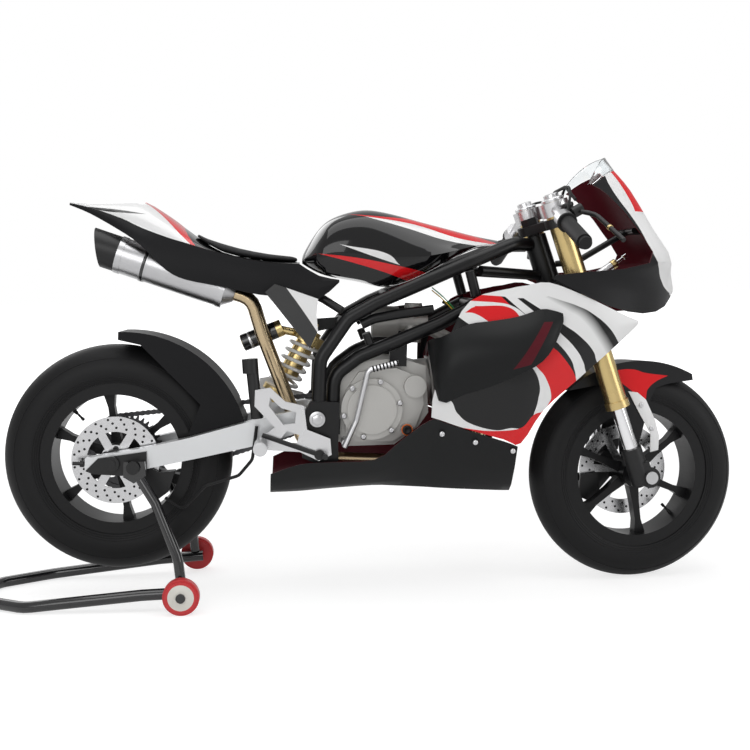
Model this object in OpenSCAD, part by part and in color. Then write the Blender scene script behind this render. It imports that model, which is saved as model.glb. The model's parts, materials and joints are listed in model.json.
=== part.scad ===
// Pit bike on its rear paddock stand.
// Bike frame: x runs forward from the rear axle along the line of the two axles, y to the left, z up.
// The finished object stands on z = 0 with its origin under the middle of its length.

/* [Stance] */
// Distance between the two axles
wheelbase = 1160; // [1140:1:1180]
// Height of the rear tyre above the floor on the stand
rear_lift = 60; // [50:1:70]

/* [Wheels] */
// Outer diameter of the rear tyre
rear_tyre_d = 500; // [490:1:504]
// Width of the rear tyre
rear_tyre_w = 112; // [106:1:114]
// Outer diameter of the front tyre
front_tyre_d = 480; // [470:1:482]
// Width of the front tyre
front_tyre_w = 100; // [96:1:104]
// Diameter where the tyre beads sit on the rim
bead_d = 314; // [310:1:318]
// Height of the rim flange above the bead
flange_h = 10; // [6:0.5:12]
// Width across the rear rim flanges
rear_rim_w = 92; // [88:1:94]
// Width across the front rim flanges
front_rim_w = 84; // [80:1:88]
// Diameter of both wheel axles
axle_d = 17; // [15:0.5:20]
// Number of cast spokes in each wheel
spoke_count = 6; // [5:1:8]

/* [Brakes and drive] */
// Diameter of the rear brake disc
rear_disc_d = 190; // [180:1:196]
// Diameter of the front brake disc
front_disc_d = 210; // [196:1:216]
// Thickness of a brake disc
disc_t = 4; // [3:0.5:5]
// Pitch of the drive chain
chain_pitch = 12.7; // [12.5:0.1:13]
// Teeth on the rear sprocket
rear_teeth = 41; // [38:1:43]
// Teeth on the engine sprocket
front_teeth = 14; // [13:1:15]

/* [Steering and fork] */
// Lean of the steering axis from the normal of the axle line
rake = 21; // [19:0.5:23]
// Steering angle at rest, turned to the left
rest_steer = 6.5; // [0:0.5:8]
// Distance of the fork legs ahead of the steering axis
clamp_offset = 32; // [29:1:36]
// Distance of the front axle ahead of the fork legs
axle_lead = 15; // [13:1:18]
// Distance between the two fork legs
fork_spread = 190; // [186:1:196]
// Diameter of the upper fork tubes
fork_tube_d = 48; // [44:1:50]
// Diameter of the lower fork tubes
fork_inner_d = 32; // [28:1:35]
// Diameter of the steering stem
stem_d = 28; // [25:1:30]

/* [Frame and swingarm] */
// Diameter of the main frame rails
rail_d = 30; // [28:0.5:32]
// Diameter of the lesser frame tubes
brace_d = 22; // [18:0.5:23]
// Distance of the swingarm pivot ahead of the rear axle
pivot_x = 433; // [428:1:438]
// Height of the swingarm pivot above the axle line
pivot_z = 113; // [108:1:118]
// Distance between the inner faces of the swingarm legs
swingarm_gap = 150; // [146:1:154]
// Thickness of each swingarm leg
swingarm_t = 30; // [26:1:32]

/* [Engine and exhaust] */
// Width of the crankcase between its side covers
case_w = 170; // [160:1:174]
// Depth of the right side cover
cover_depth = 42; // [36:1:46]
// Number of cooling fins on the cylinder
fin_count = 8; // [6:1:9]
// Diameter of the exhaust pipe
pipe_d = 31; // [28:0.5:33]
// Diameter of the silencer can
silencer_d = 78; // [72:1:80]
// Length of the silencer can
silencer_len = 240; // [220:1:250]

/* [Bodywork] */
// Wall of the fairing panels
panel_t = 4; // [3:0.5:5]
// Half width of the tank at its widest
tank_half_w = 108; // [100:1:112]
// Half width of the seat pad
seat_half_w = 92; // [84:1:96]
// Thickness of the seat pad
seat_t = 20; // [14:1:24]

/* [Paddock stand] */
// Diameter of the stand tube
stand_tube_d = 25; // [22:0.5:28]
// Diameter of the stand wheels
stand_wheel_d = 77; // [70:1:84]
// Distance between the middles of the stand wheels
stand_track = 390; // [380:1:400]

/* [Hidden] */
rear_r = rear_tyre_d / 2;
front_r = front_tyre_d / 2;
rear_axle_z = rear_r + rear_lift;
pitch = asin((rear_axle_z - front_r) / wheelbase);
// Middle of the object's length, ahead of the rear axle
x_mid = 532;
// Air between pieces that sit beside each other, and inside a running fit
seat_gap = 0.3;
run_gap = 0.05;
// Steering reference: foot of the front axle on the steering axis
trail_x = wheelbase - (clamp_offset + axle_lead) * cos(rake);
trail_z = -(clamp_offset + axle_lead) * sin(rake);
axle_x = clamp_offset + axle_lead;
leg_y = fork_spread / 2;
// Head tube along the steering axis
head_low = 474;
head_high = 582;
head_d = 52;
// Swingarm
arm_in = swingarm_gap / 2;
arm_out = arm_in + swingarm_t;
arm_len = norm([pivot_x, pivot_z]);
arm_tilt = atan2(pivot_z, pivot_x);
pivot_d = 40;
bolt_d = 20;
// Planes of the pivot plates and frame rails
plate_in = arm_out + 3;
plate_t = 24;
rail_y = 122;
low_rail_y = 106;
// Wheel hubs, discs and sprocket
rear_hub_right = 58;
rear_hub_left = 66;
front_hub_half = 44;
hub_d = 68;
rear_disc_y = rear_hub_right + disc_t / 2;
front_disc_y = front_hub_half + disc_t / 2;
sprocket_t = 4;
chain_y = rear_hub_left + sprocket_t / 2;
rear_sprocket_r = chain_pitch / 2 / sin(180 / rear_teeth);
front_sprocket_r = chain_pitch / 2 / sin(180 / front_teeth);
out_shaft = [pivot_x + 72, pivot_z + 14];
// Engine
case_half = case_w / 2;
clutch = [550, 136];
clutch_r = 66;
cyl_base = [668, 190];
cyl_tilt = 8;
barrel_len = 92;
// Silencer line: front mouth, lean and side
silencer_front = [226, -58, 378];
silencer_lean = 16.4;

// Placing: the bike on its stand, and the steered front end on the bike
module bike() {
    translate([-x_mid, 0, rear_axle_z]) rotate([0, pitch, 0]) children();
}
module steered() {
    bike() translate([trail_x, 0, trail_z]) rotate([0, -rake, 0]) rotate([0, 0, rest_steer]) children();
}
module both_sides() {
    children();
    mirror([0, 1, 0]) children();
}

// Points and directions
function unit(v) = v / norm(v);
function lerp(a, b, t) = a + (b - a) * t;
function heading(pts, i) = unit(pts[i + 1] - pts[i]);
function turn_at(pts, i) =
    (i == 0 || i == len(pts) - 1) ? 0 : acos(min(1, heading(pts, i - 1) * heading(pts, i)));
function trim_at(pts, i, r) = r * tan(turn_at(pts, i) / 2);

// Round bar between two points
module bar(a, b, d) {
    v = b - a;
    translate(a) rotate([0, acos(v[2] / norm(v)), atan2(v[1], v[0])]) cylinder(h = norm(v), d = d, $fn = 32);
}
// Points of a route with its corners rounded to one bend radius, in steps of about the given angle
function corner_points(pts, i, r, step) =
    let (u = heading(pts, i - 1), v = heading(pts, i), a = turn_at(pts, i), m = ceil(a / step))
    a < 12 ? [pts[i]] : let (n = unit(v - u * (u * v)), c = pts[i] - u * trim_at(pts, i, r) + n * r)
        [for (k = [0 : m]) c - n * r * cos(a * k / m) + u * r * sin(a * k / m)];
function rounded(pts, r, step) =
    [pts[0], for (i = [1 : len(pts) - 2]) each corner_points(pts, i, r, step), pts[len(pts) - 1]];
// Tube, pipe or hose swept along a route; side is a direction that the route never takes
module swept(pts, d, r, sides, side) {
    route = rounded(pts, r, 20);
    last = len(route) - 1;
    loft([for (i = [0 : last]) let (t = unit(route[min(last, i + 1)] - route[max(0, i - 1)]),
        n = unit(cross(side, t)), b = cross(t, n))
        [for (k = [0 : sides - 1]) route[i] + d / 2 * (n * cos(k * 360 / sides) - b * sin(k * 360 / sides))]]);
}
// Side-view outline [x, z] given a thickness from y_from to y_to
module side_plate(y_from, y_to) {
    translate([0, y_to, 0]) rotate([90, 0, 0]) linear_extrude(height = y_to - y_from) children();
}
// Cylinder across the bike from y_from to y_to
module cross_bar(x, z, d, y_from, y_to) {
    translate([x, y_to, z]) rotate([90, 0, 0]) cylinder(h = y_to - y_from, d = d, $fn = 48);
}
// Smooth rows through the rows of a table, with k steps between each two
function rows_smooth(t, k) = [
    for (i = [0 : len(t) - 2], s = [0 : k - 1])
        let (a = t[max(0, i - 1)], b = t[i], c = t[i + 1], d = t[min(len(t) - 1, i + 2)], f = s / k)
            0.5 * (2 * b + (c - a) * f + (2 * a - 5 * b + 4 * c - d) * f * f
                + (3 * b - a - 3 * c + d) * f * f * f),
    t[len(t) - 1]];
// Solid through closed rings of points, capped at both ends
module loft(rings) {
    n = len(rings[0]);
    m = len(rings);
    polyhedron(
        points = [for (ring = rings) each ring],
        faces = concat(
            [[for (j = [n - 1 : -1 : 0]) j]],
            [[for (j = [0 : n - 1]) (m - 1) * n + j]],
            [for (i = [0 : m - 2], j = [0 : n - 1])
                [i * n + j, i * n + (j + 1) % n, (i + 1) * n + (j + 1) % n, (i + 1) * n + j]]),
        convexity = 6);
}
// Thin wall between an outer and an inner grid of points
module shell(outer, inner) {
    m = len(outer);
    n = len(outer[0]);
    k = m * n;
    polyhedron(
        points = concat([for (row = outer) each row], [for (row = inner) each row]),
        faces = concat(
            [for (i = [0 : m - 2], j = [0 : n - 2]) each [
                [i * n + j, i * n + j + 1, (i + 1) * n + j + 1, (i + 1) * n + j],
                [k + i * n + j, k + (i + 1) * n + j, k + (i + 1) * n + j + 1, k + i * n + j + 1]]],
            [for (i = [0 : m - 2]) each [
                [i * n, (i + 1) * n, k + (i + 1) * n, k + i * n],
                [(i + 1) * n + n - 1, i * n + n - 1, k + i * n + n - 1, k + (i + 1) * n + n - 1]]],
            [for (j = [0 : n - 2]) each [
                [j + 1, j, k + j, k + j + 1],
                [(m - 1) * n + j, (m - 1) * n + j + 1, k + (m - 1) * n + j + 1, k + (m - 1) * n + j]]]),
        convexity = 8);
}

// Wheels, about the y axis at their own centre
module wheel_tyre(r, w, rim_w) {
    crown = w / 2;
    rotate([90, 0, 0]) rotate_extrude($fn = 96) difference() {
        translate([r - crown, 0]) circle(r = crown, $fn = 64);
        translate([0, -w]) square([bead_d / 2 + seat_gap, 2 * w]);
        for (s = [-1, 1])
            translate([0, s > 0 ? rim_w / 2 - flange_w - seat_gap : -w])
                square([bead_d / 2 + flange_h + seat_gap, w - rim_w / 2 + flange_w + seat_gap]);
    }
}
flange_w = 6;
rim_wall = 16;
module wheel_rim(rim_w, hub_right, hub_left) {
    r = bead_d / 2;
    spoke_t = 26;
    spoke_end = r - rim_wall + 2;
    difference() {
        union() {
            rotate([90, 0, 0]) rotate_extrude($fn = 96) {
                translate([r - rim_wall, -rim_w / 2]) square([rim_wall, rim_w]);
                for (s = [-1, 1])
                    translate([r - 2, s > 0 ? rim_w / 2 - flange_w : -rim_w / 2])
                        square([flange_h + 2, flange_w]);
            }
            cross_bar(0, 0, hub_d, -hub_right, hub_left);
            for (k = [0 : spoke_count - 1]) rotate([0, -k * 360 / spoke_count - 40, 0])
                side_plate(-spoke_t / 2, spoke_t / 2)
                    polygon([[20, -13], [20, 13], [70, 8], [112, 7], [spoke_end, 13], [spoke_end, -13],
                        [112, -7], [70, -8]]);
        }
        cross_bar(0, 0, axle_d + 2 * run_gap, -hub_right - 1, hub_left + 1);
    }
}
module brake_disc(d, y_from) {
    side_plate(y_from, y_from + disc_t) difference() {
        union() {
            difference() {
                circle(d = d, $fn = 96);
                circle(d = d - 66, $fn = 96);
            }
            for (k = [0 : 5]) rotate(k * 60) translate([20, -9]) square([d / 2 - 45, 18]);
            circle(d = hub_d - 2, $fn = 64);
        }
        circle(d = axle_d + 8, $fn = 48);
    }
}
module rear_tyre() color("#1b1b1c") bike() wheel_tyre(rear_r, rear_tyre_w, rear_rim_w);
module rear_rim() color("#232325") bike() wheel_rim(rear_rim_w, rear_hub_right, rear_hub_left);
module rear_disc() color("#b9bcc0") bike() brake_disc(rear_disc_d, -rear_hub_right - disc_t);
module front_tyre() color("#1b1b1c") steered() translate([axle_x, 0, 0]) rotate([0, rake, 0])
    wheel_tyre(front_r, front_tyre_w, front_rim_w);
module front_rim() color("#232325") steered() translate([axle_x, 0, 0]) rotate([0, rake, 0])
    wheel_rim(front_rim_w, front_hub_half, front_hub_half);
module front_disc() color("#b9bcc0") steered() translate([axle_x, 0, 0]) rotate([0, rake, 0])
    brake_disc(front_disc_d, front_hub_half);
// Toothed plate: each tooth is a root, two flanks and a flat tip
module sprocket(r, teeth, t, bore, holes) {
    pitch_a = 360 / teeth;
    side_plate(-t / 2, t / 2) difference() {
        polygon([for (k = [0 : teeth - 1], q = [[-0.34, -4], [-0.12, 5], [0.12, 5], [0.34, -4]])
            (r + q[1]) * [cos((k + q[0]) * pitch_a), sin((k + q[0]) * pitch_a)]]);
        circle(d = bore, $fn = 48);
        for (k = [0 : 1 : holes - 1])
            rotate(k * 360 / holes) translate([r * 0.68, 0]) circle(d = 24, $fn = 32);
    }
}
module rear_sprocket() color("#3a3b3e") bike() translate([0, chain_y, 0])
    sprocket(rear_sprocket_r, rear_teeth, sprocket_t, axle_d + 8, 6);

// Frame: head tube, twin rails each side, pivot plates, seat rails and brackets
function head_point(h) = [trail_x - h * sin(rake), 0, trail_z + h * cos(rake)];
// The rails start at the head tube and end on the pivot plates
plate_top = 150;
rail_start = head_point(560) + (head_d / 2 + 7) * [-0.75, 0.66, 0];
upper_rail = [rail_start, [850, 70, 505], [749, rail_y - 10, 460], [548, rail_y, 364], [492, rail_y, 330],
    [435, rail_y, 240], [435, rail_y, plate_top + 0.6]];
lower_rail = [[774, 104, 374], [688, low_rail_y + 6, 325], [519, low_rail_y, 248], [466, low_rail_y, 205],
    [466, low_rail_y, plate_top + 0.6]];
mid_rail = [[520, 114, 317], [546, 114, 331], [600, 114, 343], [674, 112, 355]];
seat_rail = [[478, 107.5, 345], [430, 86, 372], [300, 66, 408], [60, 44, 494]];
shock_top = [425, 0, 308];
shock_foot = [337, 0, 139];
tank_rest = [579, 385.5];
fairing_bolt = [768, 371];
module frame_rails() color("#17181a") bike() both_sides() {
    swept(upper_rail, rail_d, 45, 12, [0.3, 1, 0.2]);
    swept(lower_rail, rail_d, 45, 12, [0.3, 1, 0.2]);
    swept(mid_rail, brace_d, 30, 12, [0.1, 1, 0.2]);
}
module seat_frame() color("#17181a") bike() {
    tube_d = brace_d - 4;
    both_sides() swept(seat_rail, tube_d, 60, 12, [0.3, 1, 0.2]);
    cross_bar(320, 402.5, tube_d - 2, -58, 58);
    // rear cross tube with a post under the hump
    cross_bar(70, 491, tube_d - 2, -35, 35);
    bar([70, 0, 491], [70, 0, hump_top(70) - panel_t - 4], 14);
}
// Head tube, pivot plates, engine hangers, struts and cross tubes between the rails
module head_tube() difference() {
    bar(head_point(head_low), head_point(head_high), head_d);
    bar(head_point(head_low - 5), head_point(head_high + 5), stem_d + 2 * run_gap);
}
module pivot_plate() difference() {
    union() {
        side_plate(plate_in, plate_in + plate_t) polygon([[408, 132], [418, plate_top], [480, plate_top],
            [480, 60], [482, 24], [452, 10], [404, 28], [404, 92]]);
        side_plate(case_half, plate_in + 2) polygon([[466, 78], [484, 78], [484, 112], [466, 112]]);
    }
    cross_bar(pivot_x, pivot_z, bolt_d + 2 * run_gap, plate_in - 5, plate_in + plate_t + 5);
}
rail_in = rail_y - rail_d / 2 - seat_gap;
module frame_brackets() color("#17181a") bike() {
    head_tube();
    both_sides() {
        pivot_plate();
        side_plate(case_half, low_rail_y - 2) polygon([[585, 230], [622, 230], [622, 277], [585, 260.5]]);
        bar([749.5, 110, 441], [766, 105, 389], brace_d);
        bar([775, 90, 443], head_point(488) + [-24, 13.2, 0.5], brace_d);
        bar([531, 112, 299.5], [541, 108, 276.5], brace_d - 4);
        cross_bar(fairing_bolt[0], fairing_bolt[1], 18, 104 + rail_d / 2 + 2.5,
            fairing_y(fairing_bolt) - panel_t - 2.5);
    }
    shock_hanger();
    cross_bar(tank_rest[0], tank_rest[1], 20, -rail_in + 3, rail_in - 3);
    cross_bar(768, 371, brace_d, -104 + rail_d / 2 + seat_gap, 104 - rail_d / 2 - seat_gap);
}
module shock_hanger() difference() {
    union() {
        cross_bar(480, 318, brace_d, -rail_in, rail_in);
        for (s = [-1, 1]) translate([0, s * 19, 0]) side_plate(-3, 3)
            polygon([[480, 308], [480, 328], [424, 322], [410, 308], [424, 294]]);
    }
    cross_bar(shock_top[0], shock_top[2], 10.4, -30, 30);
}

// Swingarm: two tapered legs, pivot tube and cross brace with the shock bracket
module swingarm() color("#c9ccd0") bike() difference() {
    union() {
        both_sides() side_plate(arm_in, arm_out) polygon([[-58, -18], [-58, 8], [-26, 15], [79, 38], [163, 60],
            [269, 93], [400, pivot_z + 18], [pivot_x, pivot_z + pivot_d / 2], [pivot_x, pivot_z - pivot_d / 2],
            [330, 54], [185, 17], [73, -10], [0, -24], [-45, -24]]);
        cross_bar(pivot_x, pivot_z, pivot_d, -arm_out, arm_out);
        side_plate(-arm_in - 1, arm_in + 1) polygon([[284, 64], [326, 76], [330, 104], [290, 94]]);
        for (s = [-1, 1]) translate([0, s * 19, 0]) side_plate(-3, 3)
            polygon([[294, 88], [328, 92], [350, 136], [338, 152], [324, 142]]);
    }
    cross_bar(pivot_x, pivot_z, bolt_d + 2 * run_gap, -arm_out - 5, arm_out + 5);
    cross_bar(0, 0, axle_d + 2 * run_gap, -arm_out - 5, arm_out + 5);
    cross_bar(shock_foot[0], shock_foot[2], 10.4, -30, 30);
}
module pivot_shaft() color("#8d9095") bike() {
    end = plate_in + plate_t;
    cross_bar(pivot_x, pivot_z, bolt_d, -end, end);
    both_sides() cross_bar(pivot_x, pivot_z, 30, end, end + 8);
}
// Rear axle with its spacers, adjuster plates, nuts and stand spools
spool = [48, -4];
spool_d = 20;
adjust_t = 6;
spool_out = arm_out + adjust_t + 30;
module rear_axle() color("#2b2c2f") bike() {
    cross_bar(0, 0, axle_d, -arm_out - adjust_t - 10, arm_out + adjust_t + 10);
    cross_bar(0, 0, 30, -arm_in, -rear_hub_right - disc_t - seat_gap);
    cross_bar(0, 0, 30, chain_y + sprocket_t / 2 + seat_gap, arm_in);
    both_sides() {
        cross_bar(0, 0, 32, arm_out + adjust_t - 1, arm_out + adjust_t + 8);
        side_plate(arm_out, arm_out + adjust_t)
            polygon([[-56, -18], [-30, 10], [72, 28], [74, -22], [17, -26], [-40, -24]]);
        cross_bar(spool[0], spool[1], spool_d, arm_out + adjust_t - 1, spool_out);
        cross_bar(spool[0], spool[1], spool_d + 8, spool_out - 4, spool_out);
        bar([-86, arm_out - 12, -5], [-58, arm_out - 12, -5], 8);
        bar([-70, arm_out - 12, -5], [-62, arm_out - 12, -5], 15);
    }
}

// Engine: crankcase, side covers, finned cylinder, kick lever, carburettor
module engine_case() color("#8e9093") bike() difference() {
    engine_block();
    // room for the sprocket and chain on the left
    translate([out_shaft[0] - 60, notch_y, out_shaft[1] - 56]) cube([104, case_w, 112]);
}
notch_y = 44;
module engine_block() {
    side_plate(-case_half, case_half) polygon([[472, 196], [479, 62], [500, 50], [604, 57], [655, 98],
        [cyl_base[0] + 8, 130], [cyl_base[0] - 2, 232], [607, 246], [520, 236]]);
    translate([cyl_base[0], 0, cyl_base[1]]) rotate([0, 90 - cyl_tilt, 0]) translate([0, 0, -30])
        cylinder(h = 42, d = 104, $fn = 64);
}
module engine_covers() color("#a3a5a8") bike() {
    side_plate(-case_half - 16, -case_half) polygon([[492, 170], [496, 84], [520, 62], [600, 66], [648, 100],
        [664, 150], [656, 206], [600, 226], [520, 214]]);
    cross_bar(clutch[0], clutch[1], 2 * clutch_r, -case_half - cover_depth + 8, -case_half - 15);
    cross_bar(clutch[0], clutch[1], 2 * clutch_r - 26, -case_half - cover_depth, -case_half - cover_depth + 9);
    cross_bar(clutch[0] + 92, clutch[1] + 52, 48, -case_half - 32, -case_half - 15);
    cross_bar(clutch[0] + 78, clutch[1] - 42, 26, -case_half - 30, -case_half - 15);
    for (k = [0 : 5]) rotate_about(clutch, k * 60 + 15) cross_bar(clutch[0] + clutch_r - 4, clutch[1], 14,
        -case_half - cover_depth + 4, -case_half - 15);
    cross_bar(570, 140, 150, case_half, case_half + 26);
    cross_bar(570, 140, 110, case_half + 25, case_half + 34);
}
module rotate_about(p, a) {
    translate([p[0], 0, p[1]]) rotate([0, -a, 0]) translate([-p[0], 0, -p[1]]) children();
}
module engine_cylinder() color("#9a9c9f") bike()
    translate([cyl_base[0], 0, cyl_base[1]]) rotate([0, 90 - cyl_tilt, 0]) translate([0, 0, 12]) {
        fin_pitch = (barrel_len - 6) / fin_count;
        cylinder(h = barrel_len, d = 78, $fn = 64);
        for (k = [0 : fin_count - 1]) translate([-54, -50, 4 + k * fin_pitch]) cube([108, 100, 4]);
        translate([-48, -46, barrel_len - 1]) cube([96, 92, 44]);
        translate([0, 0, barrel_len + 42]) cylinder(h = 10, d = 70, $fn = 64);
    }
kick_foot = [509, 67];
module kick_lever() color("#7f8286") bike() {
    y = -case_half - cover_depth - 14;
    cross_bar(kick_foot[0] - 14, kick_foot[1] - 4, 16, y + 6 + seat_gap, -case_half);
    swept([[kick_foot[0] - 16, y, kick_foot[1] - 12], [516, y, 112], [537, y - 4, 222], [600, y - 10, 241]],
        12, 14, 12, [0, 1, 0]);
}
carb = [640, 322];
module carburettor() color("#9da0a4") bike() {
    translate([carb[0], 0, carb[1]]) {
        rotate([0, 90, 0]) translate([0, 0, -34]) cylinder(h = 68, d = 40, $fn = 48);
        translate([0, 0, -44]) cylinder(h = 40, d = 44, $fn = 48);
        cylinder(h = 44, d = 36, $fn = 48);
    }
    // inlet stub down to the head
    bar([carb[0] + 20, 0, carb[1] - 2], [carb[0] + 130, 0, carb[1] - 54], 28);
    // filter
    translate([carb[0] - 90, 0, carb[1]]) rotate([0, 90, 0]) cylinder(h = 58, d = 70, $fn = 48);
}

// Exhaust: header under the engine and up between the swingarm legs to the silencer
silencer_back = silencer_front + silencer_len * [-cos(silencer_lean), 0, sin(silencer_lean)];
function before_silencer(s) = silencer_front + s * [cos(silencer_lean), 0, -sin(silencer_lean)];
exhaust_route = [[790, -34, 143], [800, -38, 70], [740, -44, 14], [470, -50, 16], [408, -52, 52],
    [369, -55, 144], [308, -58, 288], before_silencer(60), before_silencer(22)];
module along_silencer() {
    translate(silencer_front) rotate([0, -90 + silencer_lean, 0]) children();
}
module exhaust_pipe() color("#b59a6a") bike() swept(exhaust_route, pipe_d, 40, 16, [0, 1, 0]);
module silencer_can() color("#b4b6b9") bike() along_silencer() {
    translate([0, 0, -22 + seat_gap])
        cylinder(h = 22 - seat_gap, d1 = pipe_d + 8, d2 = silencer_d - 8, $fn = 64);
    cylinder(h = silencer_len, d = silencer_d, $fn = 96);
    for (s = [0, silencer_len - 12, silencer_len * 0.72])
        translate([0, 0, s]) cylinder(h = 12, d = silencer_d + 3, $fn = 96);
    // hanger lug up to the seat rail
    translate([30, 12, silencer_len * 0.72]) cube([16, 14, 12]);
}
module silencer_tip() color("#1d1d1f") bike() along_silencer() difference() {
    translate([0, 0, silencer_len + seat_gap]) cylinder(h = 62, d = silencer_d - 1, $fn = 96);
    translate([0, 0, silencer_len + 20]) cylinder(h = 80, d = silencer_d - 18, $fn = 96);
    // slash cut
    translate([0, 0, silencer_len + 46]) rotate([0, -24, 0]) translate([-100, -100, 0]) cube(200);
}

// Rear brake and mudguard
module rear_caliper() color("#26272a") bike() difference() {
    union() {
        side_plate(-arm_in + seat_gap, -48) polygon([[80, -24], [130, -18], [117, -64], [92, -84], [76, -60]]);
        // bracket round the axle spacer
        side_plate(-arm_in + seat_gap, -rear_disc_y - 8) {
            circle(d = 50, $fn = 48);
            polygon([[0, -24], [14, 20], [110, -30], [100, -66]]);
        }
    }
    cross_bar(0, 0, 30 + 2 * seat_gap, -arm_in - 5, -rear_disc_y + 5);
    cross_bar(0, 0, rear_disc_d + 12, -rear_disc_y - 7, -rear_disc_y + 7);
}
hose_d = 7;
module rear_brake_hose() color("#141415") bike() swept([[110, -66, -79], [150, -84, -100], [200, -118, -40],
    [270, -122, -16], [298, -124.7, 20], [305, -124.7, 92]], hose_d, 20, 8, [0, 1, 0]);
guard_centre = [20, 10];
guard_r = 270;
module rear_hugger() color("#1c1c1e") bike() {
    difference() {
        guard_skin();
        // slot for the upper run of the chain
        side_plate(chain_y - 12, chain_y + 12) polygon([[130, 87], [130, 118], [300, 142], [300, 111]]);
    }
    both_sides() cross_bar(225, 62, 18, 69, arm_in);
}
module guard_skin() {
    intersection() {
        translate([guard_centre[0], 0, guard_centre[1]]) rotate([90, 0, 0])
            rotate_extrude($fn = 128) difference() {
            translate([guard_r - 130, -70]) square([130, 140]);
            translate([0, -66]) square([guard_r - 4, 132]);
        }
        side_plate(-80, 80) polygon([[0, 290], [101, 290], [250, 200], [280, 131], [276, 62], [205, 52],
            [156, 62],
            [180, 128], [136, 170], [48, 253], [0, 262]]);
    }
}

// Shock absorber between the swingarm brace and the frame
shock_len = norm(shock_top - shock_foot);
spring_r = 31;
spring_wire = 8;
spring_turns = 6;
spring_from = 30;
spring_to = 142;
module along_shock() {
    lean = atan2(shock_top[0] - shock_foot[0], shock_top[2] - shock_foot[2]);
    translate(shock_foot) rotate([0, lean, 0]) children();
}
module shock_absorber() color("#c39a3e") bike() {
    along_shock() {
        translate([0, 0, 8]) cylinder(h = shock_len - 16, d = 16, $fn = 32);
        translate([0, 0, 66]) cylinder(h = shock_len - 80, d = 44, $fn = 48);
        // spring seats
        translate([0, 0, 14])
            cylinder(h = spring_from - spring_wire / 2 - 14 - seat_gap, d = 2 * spring_r + 10, $fn = 64);
        translate([0, 0, spring_to + spring_wire / 2 + seat_gap])
            cylinder(h = 22, d = 2 * spring_r + 12, $fn = 64);
    }
    for (p = [shock_foot, shock_top]) {
        cross_bar(p[0], p[2], 26, -15.5, 15.5);
        cross_bar(p[0], p[2], 10, -26, 26);
    }
    // remote reservoir
    bar([264, 0, 262], [350, 0, 300], 38);
    bar([340, 0, 296], [404, 0, 286], 18);
}
module shock_spring() color("#e9e9e6") bike() along_shock() {
    per_turn = 14;
    sides = 8;
    rise = (spring_to - spring_from) / (spring_turns * per_turn);
    loft([for (i = [0 : spring_turns * per_turn]) let (a = i * 360 / per_turn)
        [for (j = [0 : sides - 1]) let (b = j * 360 / sides)
            [(spring_r + spring_wire / 2 * cos(b)) * cos(a), (spring_r + spring_wire / 2 * cos(b)) * sin(a),
                spring_from + i * rise + spring_wire / 2 * sin(b)]]]);
}

// Rearsets, pedal and gear lever
set_in = rail_y + rail_d / 2 + 10;
set_t = 7;
peg = [317, 59];
module rearsets() color("#a9acb0") bike() both_sides() {
    side_plate(set_in, set_in + set_t) difference() {
        polygon([[462, 74], [466, 40], [440, 26], [398, 44], [314, 46], [304, 62], [344, 94], [300, 138],
            [300, 172],
            [332, 178], [364, 150], [404, 142], [412, 92]]);
        polygon([[392, 62], [350, 62], [370, 88], [396, 80]]);
        polygon([[386, 104], [362, 100], [330, 140], [332, 158], [356, 136], [388, 128]]);
    }
    for (p = [[425, 60], [450, 44]]) cross_bar(p[0], p[1], 18, plate_in + plate_t, set_in + 1);
    cross_bar(peg[0], peg[1], 24, set_in + set_t - 1, set_in + 96);
    for (k = [0 : 5]) cross_bar(peg[0], peg[1], 29, set_in + 26 + k * 12, set_in + 32 + k * 12);
}
pedal_y = set_in + set_t + seat_gap;
module brake_pedal() color("#2a2b2d") bike() {
    // pedal on the outer face of the right rearset
    bar([318, -pedal_y - 5, 78], [452, -pedal_y - 5, 36], 10);
    bar([452, -pedal_y - 5, 36], [452, -pedal_y - 36, 40], 12);
    cross_bar(440, 40, 22, -pedal_y - 10, -pedal_y);
    // master cylinder behind the plate
    bar([292, -set_in + 13 + seat_gap, 212], [306, -set_in + 13 + seat_gap, 110], 26);
    bar([289, -set_in + 13 + seat_gap, 206], [286, -set_in + 13 + seat_gap, 236], 34);
}
module gear_lever() color("#2a2b2d") bike() {
    bar([330, pedal_y + 5, 84], [455, pedal_y + 5, 34], 10);
    bar([455, pedal_y + 5, 34], [455, pedal_y + 36, 38], 12);
    cross_bar(440, 40, 22, pedal_y, pedal_y + 10);
}
// Drive: engine sprocket and chain
module front_sprocket() color("#3a3b3e") bike() {
    translate([out_shaft[0], chain_y, out_shaft[1]])
        sprocket(front_sprocket_r, front_teeth, sprocket_t, 12, 0);
    cross_bar(out_shaft[0], out_shaft[1], 18, notch_y, chain_y + 8);
}
// Chain: two scalloped plate loops joined by pins along the free runs
belt_dir = atan2(out_shaft[1], out_shaft[0]);
belt_len = norm(out_shaft);
belt_open = acos((rear_sprocket_r - front_sprocket_r) / belt_len);
run_len = belt_len * sin(belt_open);
wrap_front = front_sprocket_r * 2 * belt_open * PI / 180;
wrap_rear = rear_sprocket_r * (360 - 2 * belt_open) * PI / 180;
loop_len = 2 * run_len + wrap_front + wrap_rear;
links = round(loop_len / chain_pitch);
function ring_point(c, r, a) = [c[0] + r * cos(a), c[1] + r * sin(a), a];
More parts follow.
